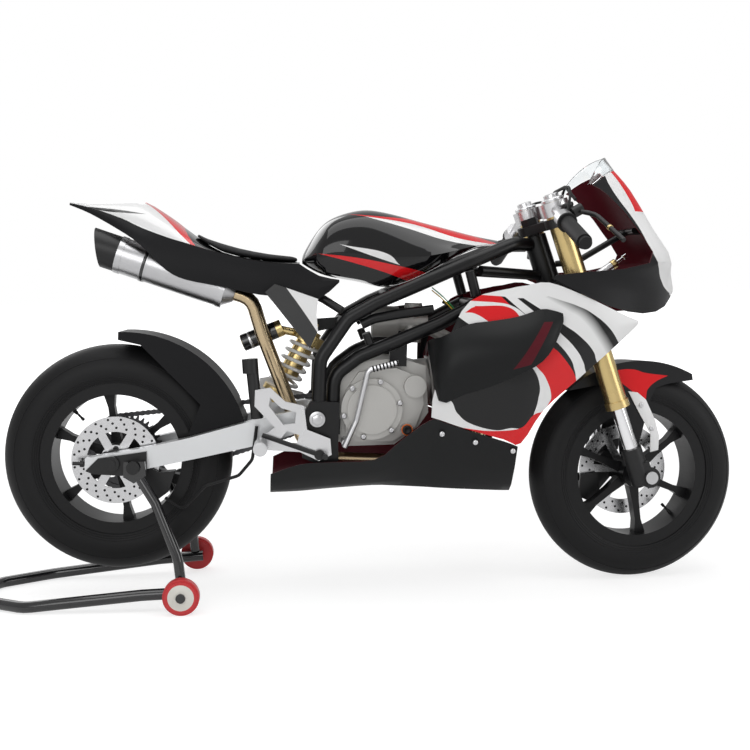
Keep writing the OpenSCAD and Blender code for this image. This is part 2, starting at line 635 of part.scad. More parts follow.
// Point of the pitch line [x, z, direction of its outer side] at a length from the start of the upper run
function chain_at(s) =
    let (up = belt_dir + belt_open, low = belt_dir - belt_open)
    s < run_len ?
        lerp(ring_point([0, 0], rear_sprocket_r, up), ring_point(out_shaft, front_sprocket_r, up), s / run_len)
    : s < run_len + wrap_front ?
        ring_point(out_shaft, front_sprocket_r, up - (s - run_len) / wrap_front * 2 * belt_open)
    : s < 2 * run_len + wrap_front ?
        lerp(ring_point(out_shaft, front_sprocket_r, low), ring_point([0, 0], rear_sprocket_r, low),
            (s - run_len - wrap_front) / run_len)
    : ring_point([0, 0], rear_sprocket_r,
        low - (s - 2 * run_len - wrap_front) / wrap_rear * (360 - 2 * belt_open));
function chain_edge(side) = [for (k = [0 : 2 * links - 1]) let (p = chain_at(k * loop_len / links / 2),
    h = side * (k % 2 == 0 ? 5.6 : 4.1)) [p[0] + h * cos(p[2]), p[1] + h * sin(p[2])]];
plate_gap = sprocket_t / 2 + 1.4;
link_t = 2.2;
pin_half = plate_gap + link_t + 0.8;
// Length of each run beside a sprocket that has no pins, clear of the teeth
pin_free = 42;
module chain() color("#55575a") bike() {
    both_plates() side_plate(plate_gap, plate_gap + link_t) difference() {
        polygon(chain_edge(1));
        polygon(chain_edge(-1));
    }
    for (k = [0 : links - 1]) {
        s = k * loop_len / links;
        p = chain_at(s);
        upper = s > pin_free && s < run_len - pin_free;
        lower = s > run_len + wrap_front + pin_free && s < 2 * run_len + wrap_front - pin_free;
        if (upper || lower) cross_bar(p[0], p[1], 5.5, chain_y - pin_half, chain_y + pin_half);
    }
}
module both_plates() {
    for (m = [0, 1]) translate([0, chain_y, 0]) mirror([0, m, 0]) children();
}

// Steered front end, along the steering axis
clamp_low = [436, 472.5];
clamp_high = [587, 607];
fork_low = 168;
foot_top = 72;
module clamp_plate(z, spread) translate([0, 0, z[0]]) linear_extrude(height = z[1] - z[0]) difference() {
    union() {
        circle(d = 62, $fn = 64);
        for (s = [-1, 1]) translate([clamp_offset, s * leg_y]) circle(d = fork_tube_d + spread, $fn = 64);
        polygon([[-24, -20], [-24, 20], [clamp_offset - 26, leg_y], [clamp_offset + 16, leg_y - 20],
            [clamp_offset - 2, 30], [clamp_offset - 2, -30], [clamp_offset + 16, 20 - leg_y],
            [clamp_offset - 26, -leg_y]]);
    }
    for (s = [-1, 1]) translate([clamp_offset, s * leg_y]) circle(d = fork_tube_d + 2 * run_gap, $fn = 64);
}
module triple_clamps() color("#1a1a1c") steered() {
    clamp_plate(clamp_low, 18);
    clamp_plate(clamp_high, 16);
    translate([0, 0, clamp_low[0]]) cylinder(h = clamp_high[1] - clamp_low[0], d = stem_d, $fn = 48);
    translate([0, 0, clamp_high[1]]) cylinder(h = 16, d = 40, $fn = 6);
}
fork_top = 648;
module legs() for (s = [-1, 1]) translate([clamp_offset, s * leg_y, 0]) children();
module fork_tubes() color("#c08a2d") steered() legs() {
    translate([0, 0, fork_low]) cylinder(h = fork_top - fork_low, d = fork_tube_d, $fn = 64);
    translate([0, 0, fork_low]) cylinder(h = 16, d = fork_tube_d + 6, $fn = 64);
    translate([0, 0, fork_top]) cylinder(h = 8, d = 30, $fn = 6);
}
module fork_sliders() color("#d7d9dc") steered() legs()
    translate([0, 0, foot_top]) cylinder(h = fork_low - foot_top, d = fork_inner_d, $fn = 48);
foot_half = 22;
foot_d = 46;
module fork_feet() color("#1b1b1d") steered() difference() {
    legs() {
        translate([0, 0, -10]) cylinder(h = foot_top + 10, d = foot_d, $fn = 48);
        translate([0, -foot_half, -14]) cube([axle_lead + 8, 2 * foot_half, 50]);
        translate([axle_lead, 0, 0]) cross_bar(0, 0, foot_d, -foot_half, foot_half);
    }
    translate([axle_x, 0, 0]) cross_bar(0, 0, axle_d + 2 * run_gap, -leg_y - 60, leg_y + 60);
}
module at_axle() translate([axle_x, 0, 0]) rotate([0, rake, 0]) children();
module front_axle() color("#9b9ea2") steered() at_axle() {
    foot_in = leg_y - foot_d / 2 - seat_gap;
    foot_out = leg_y + foot_d / 2 + seat_gap;
    cross_bar(0, 0, axle_d, -foot_out - 8, foot_out + 8);
    cross_bar(0, 0, 28, foot_out, foot_out + 8);
    cross_bar(0, 0, 28, -foot_out - 8, -foot_out);
    cross_bar(0, 0, 28, front_hub_half + disc_t + seat_gap, foot_in);
    cross_bar(0, 0, 28, -foot_in, -front_hub_half - seat_gap);
}
module front_caliper() color("#b48a34") steered() at_axle() difference() {
    union() {
        side_plate(front_disc_y - 14, front_disc_y + 18)
            polygon([[-106, -14], [-66, -8], [-58, -52], [-78, -78], [-110, -64]]);
        side_plate(front_disc_y + 11, leg_y - foot_d / 2 - seat_gap)
            polygon([[-18, 44], [-20, -16], [-62, -66], [-104, -58], [-98, -16], [-40, 40]]);
    }
    cross_bar(0, 0, front_disc_d + 12, front_disc_y - 7, front_disc_y + 7);
}
guard_gap = 12;
fender_half = 60;
fender_r = front_r + guard_gap;
module front_fender() color("#1c1c1e") steered() at_axle() {
    intersection() {
        rotate([90, 0, 0]) rotate_extrude($fn = 128) difference() {
            translate([30, -fender_half]) square([fender_r - 26, 2 * fender_half]);
            translate([0, -fender_half + 4]) square([fender_r, 2 * fender_half - 8]);
        }
        side_plate(-80, 80) polygon([[-176, fender_r - 68], [-130, fender_r + 8], [0, fender_r + 38],
            [110, fender_r - 2], [116, fender_r - 36], [57, fender_r - 46], [28, fender_r - 56], [16, fender_r - 84],
            [-6, 70], [-8, 44], [-50, 44], [-54, 70], [-38, fender_r - 82], [-70, fender_r - 46],
            [-120, fender_r - 56]]);
    }
    both_sides() cross_bar(-35, 54, 16, fender_half - 1, leg_y - foot_d / 2 - seat_gap);
}
// Clip-on bars on the fork tops, with grips and levers
bar_in = [26, 112, fork_top - 22];
bar_out = [-10, 322, fork_top - 103];
bar_d = 22;
function bar_at(y) = lerp(bar_in, bar_out, (y - bar_in[1]) / (bar_out[1] - bar_in[1]));
module clip_ons() color("#202023") steered() both_sides() difference() {
    union() {
        translate([clamp_offset, leg_y, fork_top - 36]) cylinder(h = 30, d = fork_tube_d + 16, $fn = 64);
        bar(bar_at(108), bar_at(196), bar_d);
        bar(bar_at(170), bar_at(196), 40);
    }
    translate([clamp_offset, leg_y, fork_top - 48]) cylinder(h = 60, d = fork_tube_d + 2 * run_gap, $fn = 64);
}
module grips() color("#151516") steered() both_sides() {
    bar(bar_at(196.3), bar_at(312), 32);
    bar(bar_at(196.3), bar_at(202), 42);
    bar(bar_at(312), bar_at(322), 26);
}
module levers() color("#a7aaae") steered() both_sides() {
    bar(bar_at(178) + [21.4, 0, 6], bar_at(178) + [44, 0, 10], 24);
    swept([bar_at(192) + [38, 0, 9], bar_at(214) + [62, 0, 2], bar_at(310) + [80, 0, -24]],
        10, 30, 10, [0, 0, 1]);
}
hose_start = [bar_at(160)[0] + 40, -160, bar_at(160)[2] + 24];
module front_brake_hose() color("#141415") steered() swept([hose_start, [68, -100, 664], [76, 0, 660],
    [74, 54, 620], [72, 60, 520], [72, 60, 420], [64, 70, 340], [62, 71, 150], [4, 70, 100], [-36, 61, 32]],
    hose_d, 22, 8, [1, 0, 0]);

// Paddock stand, in the floor frame: x from the rear axle, z from the floor
stand_wheel_x = 146;
stand_wheel_w = 26;
stand_leg_y = stand_track / 2 - stand_wheel_w / 2 - 18;
stand_axle_d = 12;
spool_floor = [spool[0] * cos(pitch) + spool[1] * sin(pitch),
    rear_axle_z - spool[0] * sin(pitch) + spool[1] * cos(pitch)];
hook_y = arm_out + adjust_t + 14;
module on_floor() translate([-x_mid, 0, 0]) children();
base_half = [[stand_wheel_x + 16, stand_leg_y, stand_wheel_d / 2], [60, stand_leg_y - 6, stand_wheel_d / 2 - 4],
    [-190, stand_leg_y - 22, stand_tube_d / 2], [-290, 78, stand_tube_d / 2], [-322, 24, stand_tube_d / 2],
    [-322, 0, stand_tube_d / 2]];
// Joints of the base loop, in the middle of its straight runs, and half the seam there
arm_joint = lerp(base_half[1], base_half[2], 0.6);
tail_joint = lerp(base_half[2], base_half[3], 0.5);
function seam(i) = seat_gap / 2 * heading(base_half, i);
module stand_frame() color("#151517") on_floor() {
    axle_in = stand_leg_y + stand_tube_d / 2 + seat_gap;
    wheel_in = stand_track / 2 - stand_wheel_w / 2;
    wheel_out = stand_track / 2 + stand_wheel_w / 2;
    both_sides() {
        // base loop from the wheel round to the tail of the stand, in three lengths
        swept([base_half[0], base_half[1], arm_joint - seam(1)], stand_tube_d, 60, 12, [0, 0, 1]);
        swept([arm_joint + seam(1), base_half[2], tail_joint - seam(2)], stand_tube_d, 60, 12, [0, 0, 1]);
        swept([tail_joint + seam(2), base_half[3], base_half[4], base_half[5] - seam(4)],
            stand_tube_d, 40, 12, [0, 0, 1]);
        // upright to the spool hook
        swept([[stand_wheel_x - 2, stand_leg_y, (stand_wheel_d + stand_tube_d) / 2 + seat_gap],
            [stand_wheel_x - 8, stand_leg_y - 4, 110], [92, hook_y + 10, 226],
            [spool_floor[0] + 13.8, hook_y, spool_floor[1] - 27.6]], stand_tube_d - 3, 50, 12, [0, 1, 0]);
        // hook under the spool
        translate([0, hook_y, 0]) side_plate(-7, 7) difference() {
            translate(spool_floor) polygon([[-20, 12], [-22, -20], [0, -34], [26, -18], [24, 12]]);
            translate(spool_floor) circle(d = spool_d + 2 * seat_gap, $fn = 48);
            translate([spool_floor[0] - spool_d / 2 - seat_gap, spool_floor[1]])
                square([spool_d + 2 * seat_gap, 40]);
        }
        // stub axle of the stand wheel
        cross_bar(stand_wheel_x, stand_wheel_d / 2, stand_axle_d, axle_in, wheel_out + 5);
        cross_bar(stand_wheel_x, stand_wheel_d / 2, 22, axle_in, wheel_in - seat_gap);
        cross_bar(stand_wheel_x, stand_wheel_d / 2, 20, wheel_out + seat_gap, wheel_out + 5);
    }
}
module stand_wheel(side) on_floor() difference() {
    translate([stand_wheel_x, side * stand_track / 2, stand_wheel_d / 2]) rotate([90, 0, 0])
        rotate_extrude($fn = 64) {
            translate([0, -stand_wheel_w / 2]) square([stand_wheel_d / 2 - 5, stand_wheel_w]);
            translate([0, -stand_wheel_w / 2 + 4]) square([stand_wheel_d / 2, stand_wheel_w - 8]);
        }
    cross_bar(stand_wheel_x, stand_wheel_d / 2, stand_axle_d + 2 * run_gap, -stand_track, stand_track);
}
module stand_wheel_right() color("#c8282b") stand_wheel(-1);
module stand_wheel_left() color("#c8282b") stand_wheel(1);

// Bodywork. Rows of a smooth table, looked up by x
function row_at(rows, x) =
    let (below = [for (k = [0 : len(rows) - 2]) if (rows[k][0] <= x) k],
        i = len(below) == 0 ? 0 : below[len(below) - 1])
    lerp(rows[i], rows[i + 1], (x - rows[i][0]) / (rows[i + 1][0] - rows[i][0]));

// Tail unit. Columns: x, top, shoulder height, shoulder half width, lower edge height, lower edge half width
tail_rows = rows_smooth([
    [-118, 558, 553, 16, 548, 18], [-68, 558, 543, 46, 530, 50], [0, 564, 523, 72, 496, 84],
    [45, 562, 504, 84, 468, 102], [103, 530, 485, 96, 416, 110], [146, 500, 474, 100, 397, 112],
    [214, 461, 457, 104, 387, 112], [300, 447, 443, 104, 372, 112], [384, 446, 441, 98, 369, 110]], 3);
flank_rows = concat(tail_rows, rows_smooth([[384, 446, 441, 98, 369, 110], [426, 420, 418, 104, 366, 110],
    [470, 412, 411, 106, 405, 107]], 2));
function hump_top(x) = row_at(tail_rows, x)[1];
function hump_ring(row, t) = [for (a = [-90 : 15 : 90])
    [row[0], (row[3] - t) * sin(a), row[2] + (row[1] - t - row[2]) * cos(a)]];
module tail_hump() color("#f2f2ef") bike()
    shell([for (row = tail_rows) hump_ring(row, 0)], [for (row = tail_rows) hump_ring(row, panel_t)]);
function flank_line(row, t) = [for (k = [0 : 4]) let (f = k / 4)
    [row[0], lerp(row[3], row[5], f) + 16 * f * (1 - f) * row[5] / 112 - t, lerp(row[2] - seat_gap, row[4], f)]];
module tail_flanks() color("#1a1a1b") bike() both_sides()
    shell([for (row = flank_rows) flank_line(row, 0)], [for (row = flank_rows) flank_line(row, panel_t)]);
module side_fins() color("#efefec") bike() both_sides()
    side_plate(119, 123)
        polygon([[313, 378], [333, 396], [361, 388], [426, 368], [424, 334], [428, 300], [412, 262]]);
// Seat pad on the seat base. Columns: x, top height, half width
seat_rows = rows_smooth([[160, 498, seat_half_w * 0.6], [185, 487, seat_half_w * 0.95], [251, 470, seat_half_w],
    [318, 460, seat_half_w], [366, 457, seat_half_w * 0.88], [380, 453, seat_half_w * 0.7]], 2);
function seat_ring(row) = let (base = hump_top(row[0]) + 0.6, top = base + max(row[1] - base, 3) * seat_t / 20)
    [for (a = [340 : -20 : 0]) let (c = cos(a), s = sin(a))
        [row[0], row[2] * sign(c) * pow(abs(c), 0.4), lerp(base, top, (1 + sign(s) * pow(abs(s), 0.5)) / 2)]];
module seat_pad() color("#121213") bike() loft([for (row = seat_rows) seat_ring(row)]);

// Tank. Columns: x, bottom, its half width, widest height, widest half width, shoulder, its half width, top
tank_w = tank_half_w / 108;
tank_rows = rows_smooth([
    [389, 443, 34, 449, 44, 453, 38, 460], [420, 426, 84, 455, 98, 492, 78, 516],
    [455, 416, 90, 465, 107, 530, 84, 547], [518, 408, 90, 465, 108, 541, 84, 567],
    [579, 398, 84, 462, 106, 530, 78, 562], [648, 424, 78, 468, 100, 506, 74, 547],
    [705, 457, 72, 480, 92, 496, 70, 535], [769, 491, 58, 498, 74, 503, 60, 521],
    [820, 500, 36, 505, 44, 509, 36, 513]], 3);
function tank_half(row) = [[0, row[1]], [row[2] * 0.6, row[1] + 0.8], [row[2], row[1] + 4], [row[4], row[3]],
    [lerp(row[4], row[6], 0.5), lerp(row[3], row[5], 0.62)], [row[6], row[5]],
    [row[6] * 0.62, lerp(row[5], row[7], 0.75)], [row[6] * 0.3, lerp(row[5], row[7], 0.96)], [0, row[7]]];
function tank_ring(row) = let (h = tank_half(row), n = len(h))
    concat([for (k = [0 : n - 1]) [row[0], -h[k][0] * tank_w, h[k][1]]],
        [for (k = [n - 2 : -1 : 1]) [row[0], h[k][0] * tank_w, h[k][1]]]);
module tank() color("#141416") bike() loft([for (row = tank_rows) tank_ring(row)]);

// Side fairing. Columns: x, lower edge height and half width, upper edge height and half width, bulge
fairing_rows = rows_smooth([
    [674, 128, 164, 164, 168, 2], [700, 121, 166, 290, 174, 8], [746, 107, 166, 378, 164, 14],
    [831, 86, 166, 407, 152, 20], [868, 79, 165, 415, 150, 22], [915, 151, 158, 423, 148, 20],
    [989, 219, 146, 400, 144, 14], [1079, 301, 132, 363, 136, 6], [1120, 341, 124, 349, 126, 1]], 3);
function fairing_y(p) = let (r = row_at(fairing_rows, p[0]), f = (p[1] - r[1]) / (r[3] - r[1]))
    lerp(r[2], r[4], f) + 4 * r[5] * f * (1 - f);
function fairing_line(r, t) = [for (k = [0 : 7]) let (z = lerp(r[1], r[3], k / 7))
    [r[0], fairing_y([r[0], z]) - t, z]];
module side_fairing()
    shell([for (r = fairing_rows) fairing_line(r, panel_t)], [for (r = fairing_rows) fairing_line(r, 0)]);
module fairing_left() color("#c9252b") bike() side_fairing();
module fairing_right() color("#c9252b") bike() mirror([0, 1, 0]) side_fairing();
// Air scoop on the side fairing. Columns: x, lower edge and its stand-off, upper edge and its stand-off, bulge
scoop_t = 3;
scoop_rows = rows_smooth([
    [666, 270, 3, 284, 3, 1], [686, 165, 3, 298, 3, 14], [741, 181, 1.2, 328, 1.2, 26],
    [790, 198, 5, 337, 1.2, 30],
    [846, 226, 20, 348, 1.2, 24], [897, 258, 28, 366, 1.2, 14], [925, 298, 24, 364, 1.2, 8],
    [944, 342, 8, 359, 1.2, 2]], 3);
function scoop_line(r, t) = [for (k = [0 : 6]) let (f = k / 6, z = lerp(r[1], r[3], f))
    [r[0], fairing_y([max(r[0], 675), z]) + lerp(r[2], r[4], f) + 4 * r[5] * f * (1 - f) + t, z]];
module scoop() shell([for (r = scoop_rows) scoop_line(r, 0)], [for (r = scoop_rows) scoop_line(r, scoop_t)]);
module scoop_left() color("#2a2a2c") bike() scoop();
module scoop_right() color("#2a2a2c") bike() mirror([0, 1, 0]) scoop();

// Belly pan. Columns: x, top edge height and half width, bottom height and half width
pan_rows = rows_smooth([
    [338, -10, 128, -58, 90], [400, 16, 148, -52, 98], [459, 24, 156, -44, 102], [559, 34, 162, -33, 106],
    [611, 76, 164, -32, 108], [672, 122, 164, -33, 108], [700, 118.3, 166, -34, 108],
    [746, 104.4, 166, -35, 108], [831, 82, 166, -36, 106], [862, 71.5, 165, -36, 102]], 3);
function pan_half(r, t) = [[r[2] - t, r[1]], [lerp(r[2], r[4], 0.35) - t, lerp(r[1], r[3], 0.45)],
    [lerp(r[2], r[4], 0.8) - t, lerp(r[1], r[3], 0.84) + t * 0.4], [r[4] - 12 - t * 0.6, r[3] + t],
    [r[4] * 0.4, r[3] - 2 + t]];
function pan_line(r, t) = let (half = pan_half(r, t)) concat([for (k = [0 : 4]) [r[0], half[k][0], half[k][1]]],
    [for (k = [4 : -1 : 0]) [r[0], -half[k][0], half[k][1]]]);
module belly_pan() color("#2b2b2d") bike()
    shell([for (r = pan_rows) pan_line(r, 0)], [for (r = pan_rows) pan_line(r, panel_t)]);

// Nose cowl and windscreen. Columns: edge x, y, z, control x, y, z, centre x, z, from the bottom lip up
nose_table = [
    [942, 148, 424, 1150, 158, 318, 1228, 402], [932, 150, 440, 1150, 152, 428, 1233, 424],
    [1132, 142, 474, 1206, 130, 486, 1216, 470], [1096, 137, 552, 1160, 118, 552, 1172, 548],
    [1034, 130, 616, 1108, 112, 646, 1118, 620], [1004, 128, 634, 1066, 110, 690, 1080, 664]];
screen_table = [
    [1002, 128, 636, 1064, 110, 692, 1079, 666], [998, 128, 637, 1046, 110, 698, 1071, 688],
    [992, 127, 634, 1026, 106, 702, 1060, 708]];
nose_rows = rows_smooth(nose_table, 3);
screen_rows = rows_smooth(screen_table, 3);
function bow(a, b, c, f) = a * (1 - f) * (1 - f) + 2 * b * f * (1 - f) + c * f * f;
// Half arc from the side edge to the centre line, drawn in by t, then its mirror image
function bow_point(r, f, t) =
    let (e = [r[0], r[1], r[2]], m = [r[3], r[4], r[5]], c = [r[6], 0, r[7]], p = bow(e, m, c, f))
    p - t * [0.25 + 0.6 * f, 0.9 * (1 - f), 0.2 * f];
function bow_line(r, t) = let (n = 7) concat([for (k = [0 : n]) bow_point(r, k / n, t)],
    [for (k = [n - 1 : -1 : 0]) let (p = bow_point(r, k / n, t)) [p[0], -p[1], p[2]]]);
module nose_cowl() color("#1a1a1c") bike()
    shell([for (r = nose_rows) bow_line(r, 0)], [for (r = nose_rows) bow_line(r, panel_t)]);
module windscreen() color("#d8e4ea") bike()
    shell([for (r = screen_rows) bow_line(r, 0)], [for (r = screen_rows) bow_line(r, 3)]);
module fairing_stay() color("#17181a") bike() {
    start = head_point(508) + [head_d / 2 * cos(rake) + 1.5, 0, head_d / 2 * sin(rake)];
    swept([start, start + [46, 0, 6], [1120, 0, 546], [1160, 0, 548]], 14, 40, 12, [0, 1, 0]);
    both_sides() cross_bar(1118, 546, 12, 7 + seat_gap, 60);
}

frame_rails();
frame_brackets();
seat_frame();
swingarm();
pivot_shaft();
engine_case();
engine_covers();
engine_cylinder();
kick_lever();
carburettor();
exhaust_pipe();
silencer_can();
silencer_tip();
rear_axle();
rear_caliper();
rear_brake_hose();
rear_hugger();
shock_absorber();
shock_spring();
rearsets();
brake_pedal();
gear_lever();
tank();
seat_pad();
tail_hump();
tail_flanks();
side_fins();
fairing_right();
fairing_left();
scoop_right();
scoop_left();
belly_pan();
nose_cowl();
windscreen();
fairing_stay();
front_sprocket();
chain();
stand_frame();
rear_tyre();
rear_rim();
rear_disc();
rear_sprocket();
triple_clamps();
fork_tubes();
fork_sliders();
fork_feet();
clip_ons();
grips();
levers();
front_fender();
front_caliper();
front_axle();
front_brake_hose();
front_tyre();
front_rim();
front_disc();
stand_wheel_right();
stand_wheel_left();
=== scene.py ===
"""Dresses a small racing motorcycle on its paddock stand for a studio picture."""

import json
import logging
import math
from contextlib import contextmanager
from dataclasses import dataclass
from enum import Enum
from typing import Callable, Iterator, Optional, Sequence, Union

import bpy
from mathutils import Matrix, Vector


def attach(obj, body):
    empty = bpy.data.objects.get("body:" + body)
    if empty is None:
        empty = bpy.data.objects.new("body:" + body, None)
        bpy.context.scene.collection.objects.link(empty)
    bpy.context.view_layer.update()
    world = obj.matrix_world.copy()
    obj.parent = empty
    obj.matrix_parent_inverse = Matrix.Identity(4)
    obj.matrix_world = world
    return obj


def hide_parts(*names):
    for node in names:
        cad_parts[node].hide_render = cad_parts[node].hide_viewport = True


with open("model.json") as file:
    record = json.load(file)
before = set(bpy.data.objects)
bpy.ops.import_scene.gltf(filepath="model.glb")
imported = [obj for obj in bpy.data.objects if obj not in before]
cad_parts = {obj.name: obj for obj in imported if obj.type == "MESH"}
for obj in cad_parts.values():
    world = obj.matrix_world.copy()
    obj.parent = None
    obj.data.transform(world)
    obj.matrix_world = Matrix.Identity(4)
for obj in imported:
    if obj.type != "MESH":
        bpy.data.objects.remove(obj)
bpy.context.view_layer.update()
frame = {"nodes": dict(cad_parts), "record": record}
LOG = logging.getLogger("bike")
Point = tuple[float, float]
Spot = tuple[float, float, float]
Colour = tuple[float, float, float]
Place = tuple[Sequence[float], Sequence[float]]
Piece = bpy.types.Object
Socket = bpy.types.NodeSocket
# Metres in a millimetre
MM = 0.001
# Finishes: cells per metre of haze and tone, range of the tone, least and coat roughness, depth of relief
HAZE_SCALE, TONE_SCALE = 9.0, 6.0
TONE_RANGE = (0.9, 1.08)
LEAST_ROUGHNESS, COAT_ROUGHNESS = 0.02, 0.04
RELIEF = 0.0006
# Half width of a paint edge and least rise of its curve, in metres
CRISP, LEAST_RISE = 0.0004, 1e-5
# Steps between two points of a cord
CORD_STEPS = 10
# Distances in metres at which points are merged, in a CAD mesh and in a piece made here
CAD_MERGE, MERGE = 1e-5, 1e-6
# Edges sharper than this are bevelled, and each copy of a pattern is rolled this much further, in degrees
BEVEL_FROM, ROLL_STEP = 35.0, 17.0


class Side(Enum):
    """The rider's right and left, as the sign of Y."""

    RIGHT = -1
    LEFT = 1

    @property
    def word(self) -> str:
        """The side as a word in a name."""
        return self.name.lower()


class Grain(Enum):
    """Relief that a finish has: pattern scale per metre, bump strength and stretch along X, Y and Z."""

    SMOOTH = (0.0, 0.0, (1, 1, 1))
    CAST = (420.0, 0.22, (1, 1, 1))
    BRUSHED = (260.0, 0.10, (1, 14, 14))
    MOULDED = (900.0, 0.10, (1, 1, 1))
    RUBBER = (520.0, 0.16, (1, 1, 1))


class Desk:
    """Shader nodes of one material, added one by one."""

    def __init__(self, name: str) -> None:
        """Starts a material with a Principled shader."""
        self.material = bpy.data.materials.new(name)
        self.material.use_nodes = True
        self.tree = self.material.node_tree
        self.shader = self.tree.nodes["Principled BSDF"]
        self._place: Optional[Socket] = None

    def add(self, kind: str, **settings: object) -> bpy.types.Node:
        """Adds a node.

        Args:
            kind: The node's type.
            settings: Properties to set on the node.

        Returns:
            The new node.
        """
        node = self.tree.nodes.new(kind)
        for key, value in settings.items():
            setattr(node, key, value)
        return node

    def feed(self, socket: Socket, value: object) -> None:
        """Links a socket to another socket, or sets its plain value."""
        if isinstance(value, Socket):
            self.tree.links.new(value, socket)
        elif isinstance(value, (tuple, list)) and len(value) == 3 and socket.type == "RGBA":
            socket.default_value = (*value, 1.0)
        else:
            socket.default_value = value

    def math(self, operation: str, first: object, second: object = 0.0) -> Socket:
        """Adds a Math node of two inputs and returns its value."""
        node = self.add("ShaderNodeMath", operation=operation)
        self.feed(node.inputs[0], first)
        self.feed(node.inputs[1], second)
        return node.outputs[0]

    def blend(self, share: object, below: object, above: object) -> Socket:
        """Mixes two colours by a share and returns the result."""
        node = self.add("ShaderNodeMix", data_type="RGBA")
        self.feed(node.inputs[0], share)
        self.feed(node.inputs[6], below)
        self.feed(node.inputs[7], above)
        return node.outputs[2]

    def place(self) -> Socket:
        """Object coordinates, which are the object's own metres."""
        if self._place is None:
            self._place = self.add("ShaderNodeTexCoord").outputs["Object"]
        return self._place

    def along(self, direction: Sequence[float]) -> Socket:
        """Distance of the shaded point along a direction, in metres."""
        node = self.add("ShaderNodeVectorMath", operation="DOT_PRODUCT")
        self.feed(node.inputs[0], self.place())
        node.inputs[1].default_value = tuple(direction)
        return node.outputs["Value"]

    def noise(self, scale: float, stretch: Sequence[float] = (1, 1, 1), detail: float = 3.0) -> Socket:
        """Adds noise on object coordinates.

        Args:
            scale: Pattern cells per metre.
            stretch: Factors on the coordinates; a larger one makes finer cells that way.
            detail: Octaves of noise.

        Returns:
            The noise value.
        """
        mapping = self.add("ShaderNodeMapping")
        mapping.inputs["Scale"].default_value = tuple(stretch)
        self.feed(mapping.inputs["Vector"], self.place())
        node = self.add("ShaderNodeTexNoise")
        self.feed(node.inputs["Vector"], mapping.outputs[0])
        node.inputs["Scale"].default_value = scale
        node.inputs["Detail"].default_value = detail
        return node.outputs[0]

    def spread(self, value: object, low: float, high: float) -> Socket:
        """Maps a value from 0..1 to low..high."""
        node = self.add("ShaderNodeMapRange")
        self.feed(node.inputs[0], value)
        node.inputs[3].default_value = low
        node.inputs[4].default_value = high
        return node.outputs[0]


@dataclass(frozen=True)
class Finish:
    """A surface finish: colour, how it shines, and its relief."""

    name: str
    colour: Colour
    roughness: float = 0.4
    metallic: float = 0.0
    coat: float = 0.0
    grain: Grain = Grain.SMOOTH
    wear: float = 0.08
    see_through: float = 0.0
    glance: float = 0.5

    def shine(self, desk: Desk) -> None:
        """Sets everything but the colour on a material's shader."""
        inputs = desk.shader.inputs
        for socket, value in (("Metallic", self.metallic), ("Coat Weight", self.coat),
                              ("Specular IOR Level", self.glance), ("Coat Roughness", COAT_ROUGHNESS),
                              ("Transmission Weight", self.see_through)):
            inputs[socket].default_value = value
        low, high = self.roughness - self.wear / 2, self.roughness + self.wear / 2
        desk.feed(inputs["Roughness"], desk.spread(desk.noise(HAZE_SCALE), max(LEAST_ROUGHNESS, low), high))
        scale, strength, stretch = self.grain.value
        if strength:
            bump = desk.add("ShaderNodeBump")
            bump.inputs["Strength"].default_value = strength
            bump.inputs["Distance"].default_value = RELIEF
            desk.feed(bump.inputs["Height"], desk.noise(scale, stretch, detail=4.0))
            desk.feed(inputs["Normal"], bump.outputs[0])

    def material(self) -> bpy.types.Material:
        """The finish as a material, made once and then reused."""
        known = bpy.data.materials.get(self.name)
        if known:
            return known
        desk = Desk(self.name)
        self.shine(desk)
        tone = desk.spread(desk.noise(TONE_SCALE), *TONE_RANGE)
        node = desk.add("ShaderNodeVectorMath", operation="SCALE")
        node.inputs[0].default_value = self.colour
        desk.feed(node.inputs["Scale"], tone)
        desk.feed(desk.shader.inputs["Base Color"], node.outputs[0])
        return desk.material


@dataclass(frozen=True)
class Edge:
    """A paint edge in side view: points (x, z) in metres, and the side of it that is painted.

    The edge is read along a line turned by angle degrees from +X. If above, paint is on the left of
    travel, and otherwise on the right.
    """

    points: tuple[Point, ...]
    above: bool = True
    angle: float = 0.0
    soft: float = CRISP

    def mask(self, desk: Desk) -> Socket:
        """Share of paint at the shaded point: 1 on the painted side, 0 on the other."""
        turn = math.radians(self.angle)
        cos, sin = math.cos(turn), math.sin(turn)
        run = [(x * cos + z * sin, z * cos - x * sin) for x, z in self.points]
        low, high = run[0][0], run[-1][0]
        base = min(v for _, v in run)
        rise = max(LEAST_RISE, max(v for _, v in run) - base)
        here = desk.math("DIVIDE", desk.math("SUBTRACT", desk.along((cos, 0, sin)), low), high - low)
        curve = desk.add("ShaderNodeFloatCurve")
        line = curve.mapping.curves[0]
        line.points[0].location = (0.0, (run[0][1] - base) / rise)
        line.points[-1].location = (1.0, (run[-1][1] - base) / rise)
        for along, height in run[1:-1]:
            line.points.new((along - low) / (high - low), (height - base) / rise)
        for end in (line.points[0], line.points[-1]):
            end.handle_type = "VECTOR"
        curve.mapping.extend = "EXTRAPOLATED"
        curve.mapping.update()
        desk.feed(curve.inputs["Value"], here)
        edge = desk.math("ADD", desk.math("MULTIPLY", curve.outputs[0], rise), base)
        over = desk.math("SUBTRACT", desk.along((-sin, 0, cos)), edge)
        signed = over if self.above else desk.math("MULTIPLY", over, -1.0)
        node = desk.add("ShaderNodeMapRange")
        desk.feed(node.inputs[0], signed)
        node.inputs[1].default_value = -self.soft
        node.inputs[2].default_value = self.soft
        return node.outputs[0]


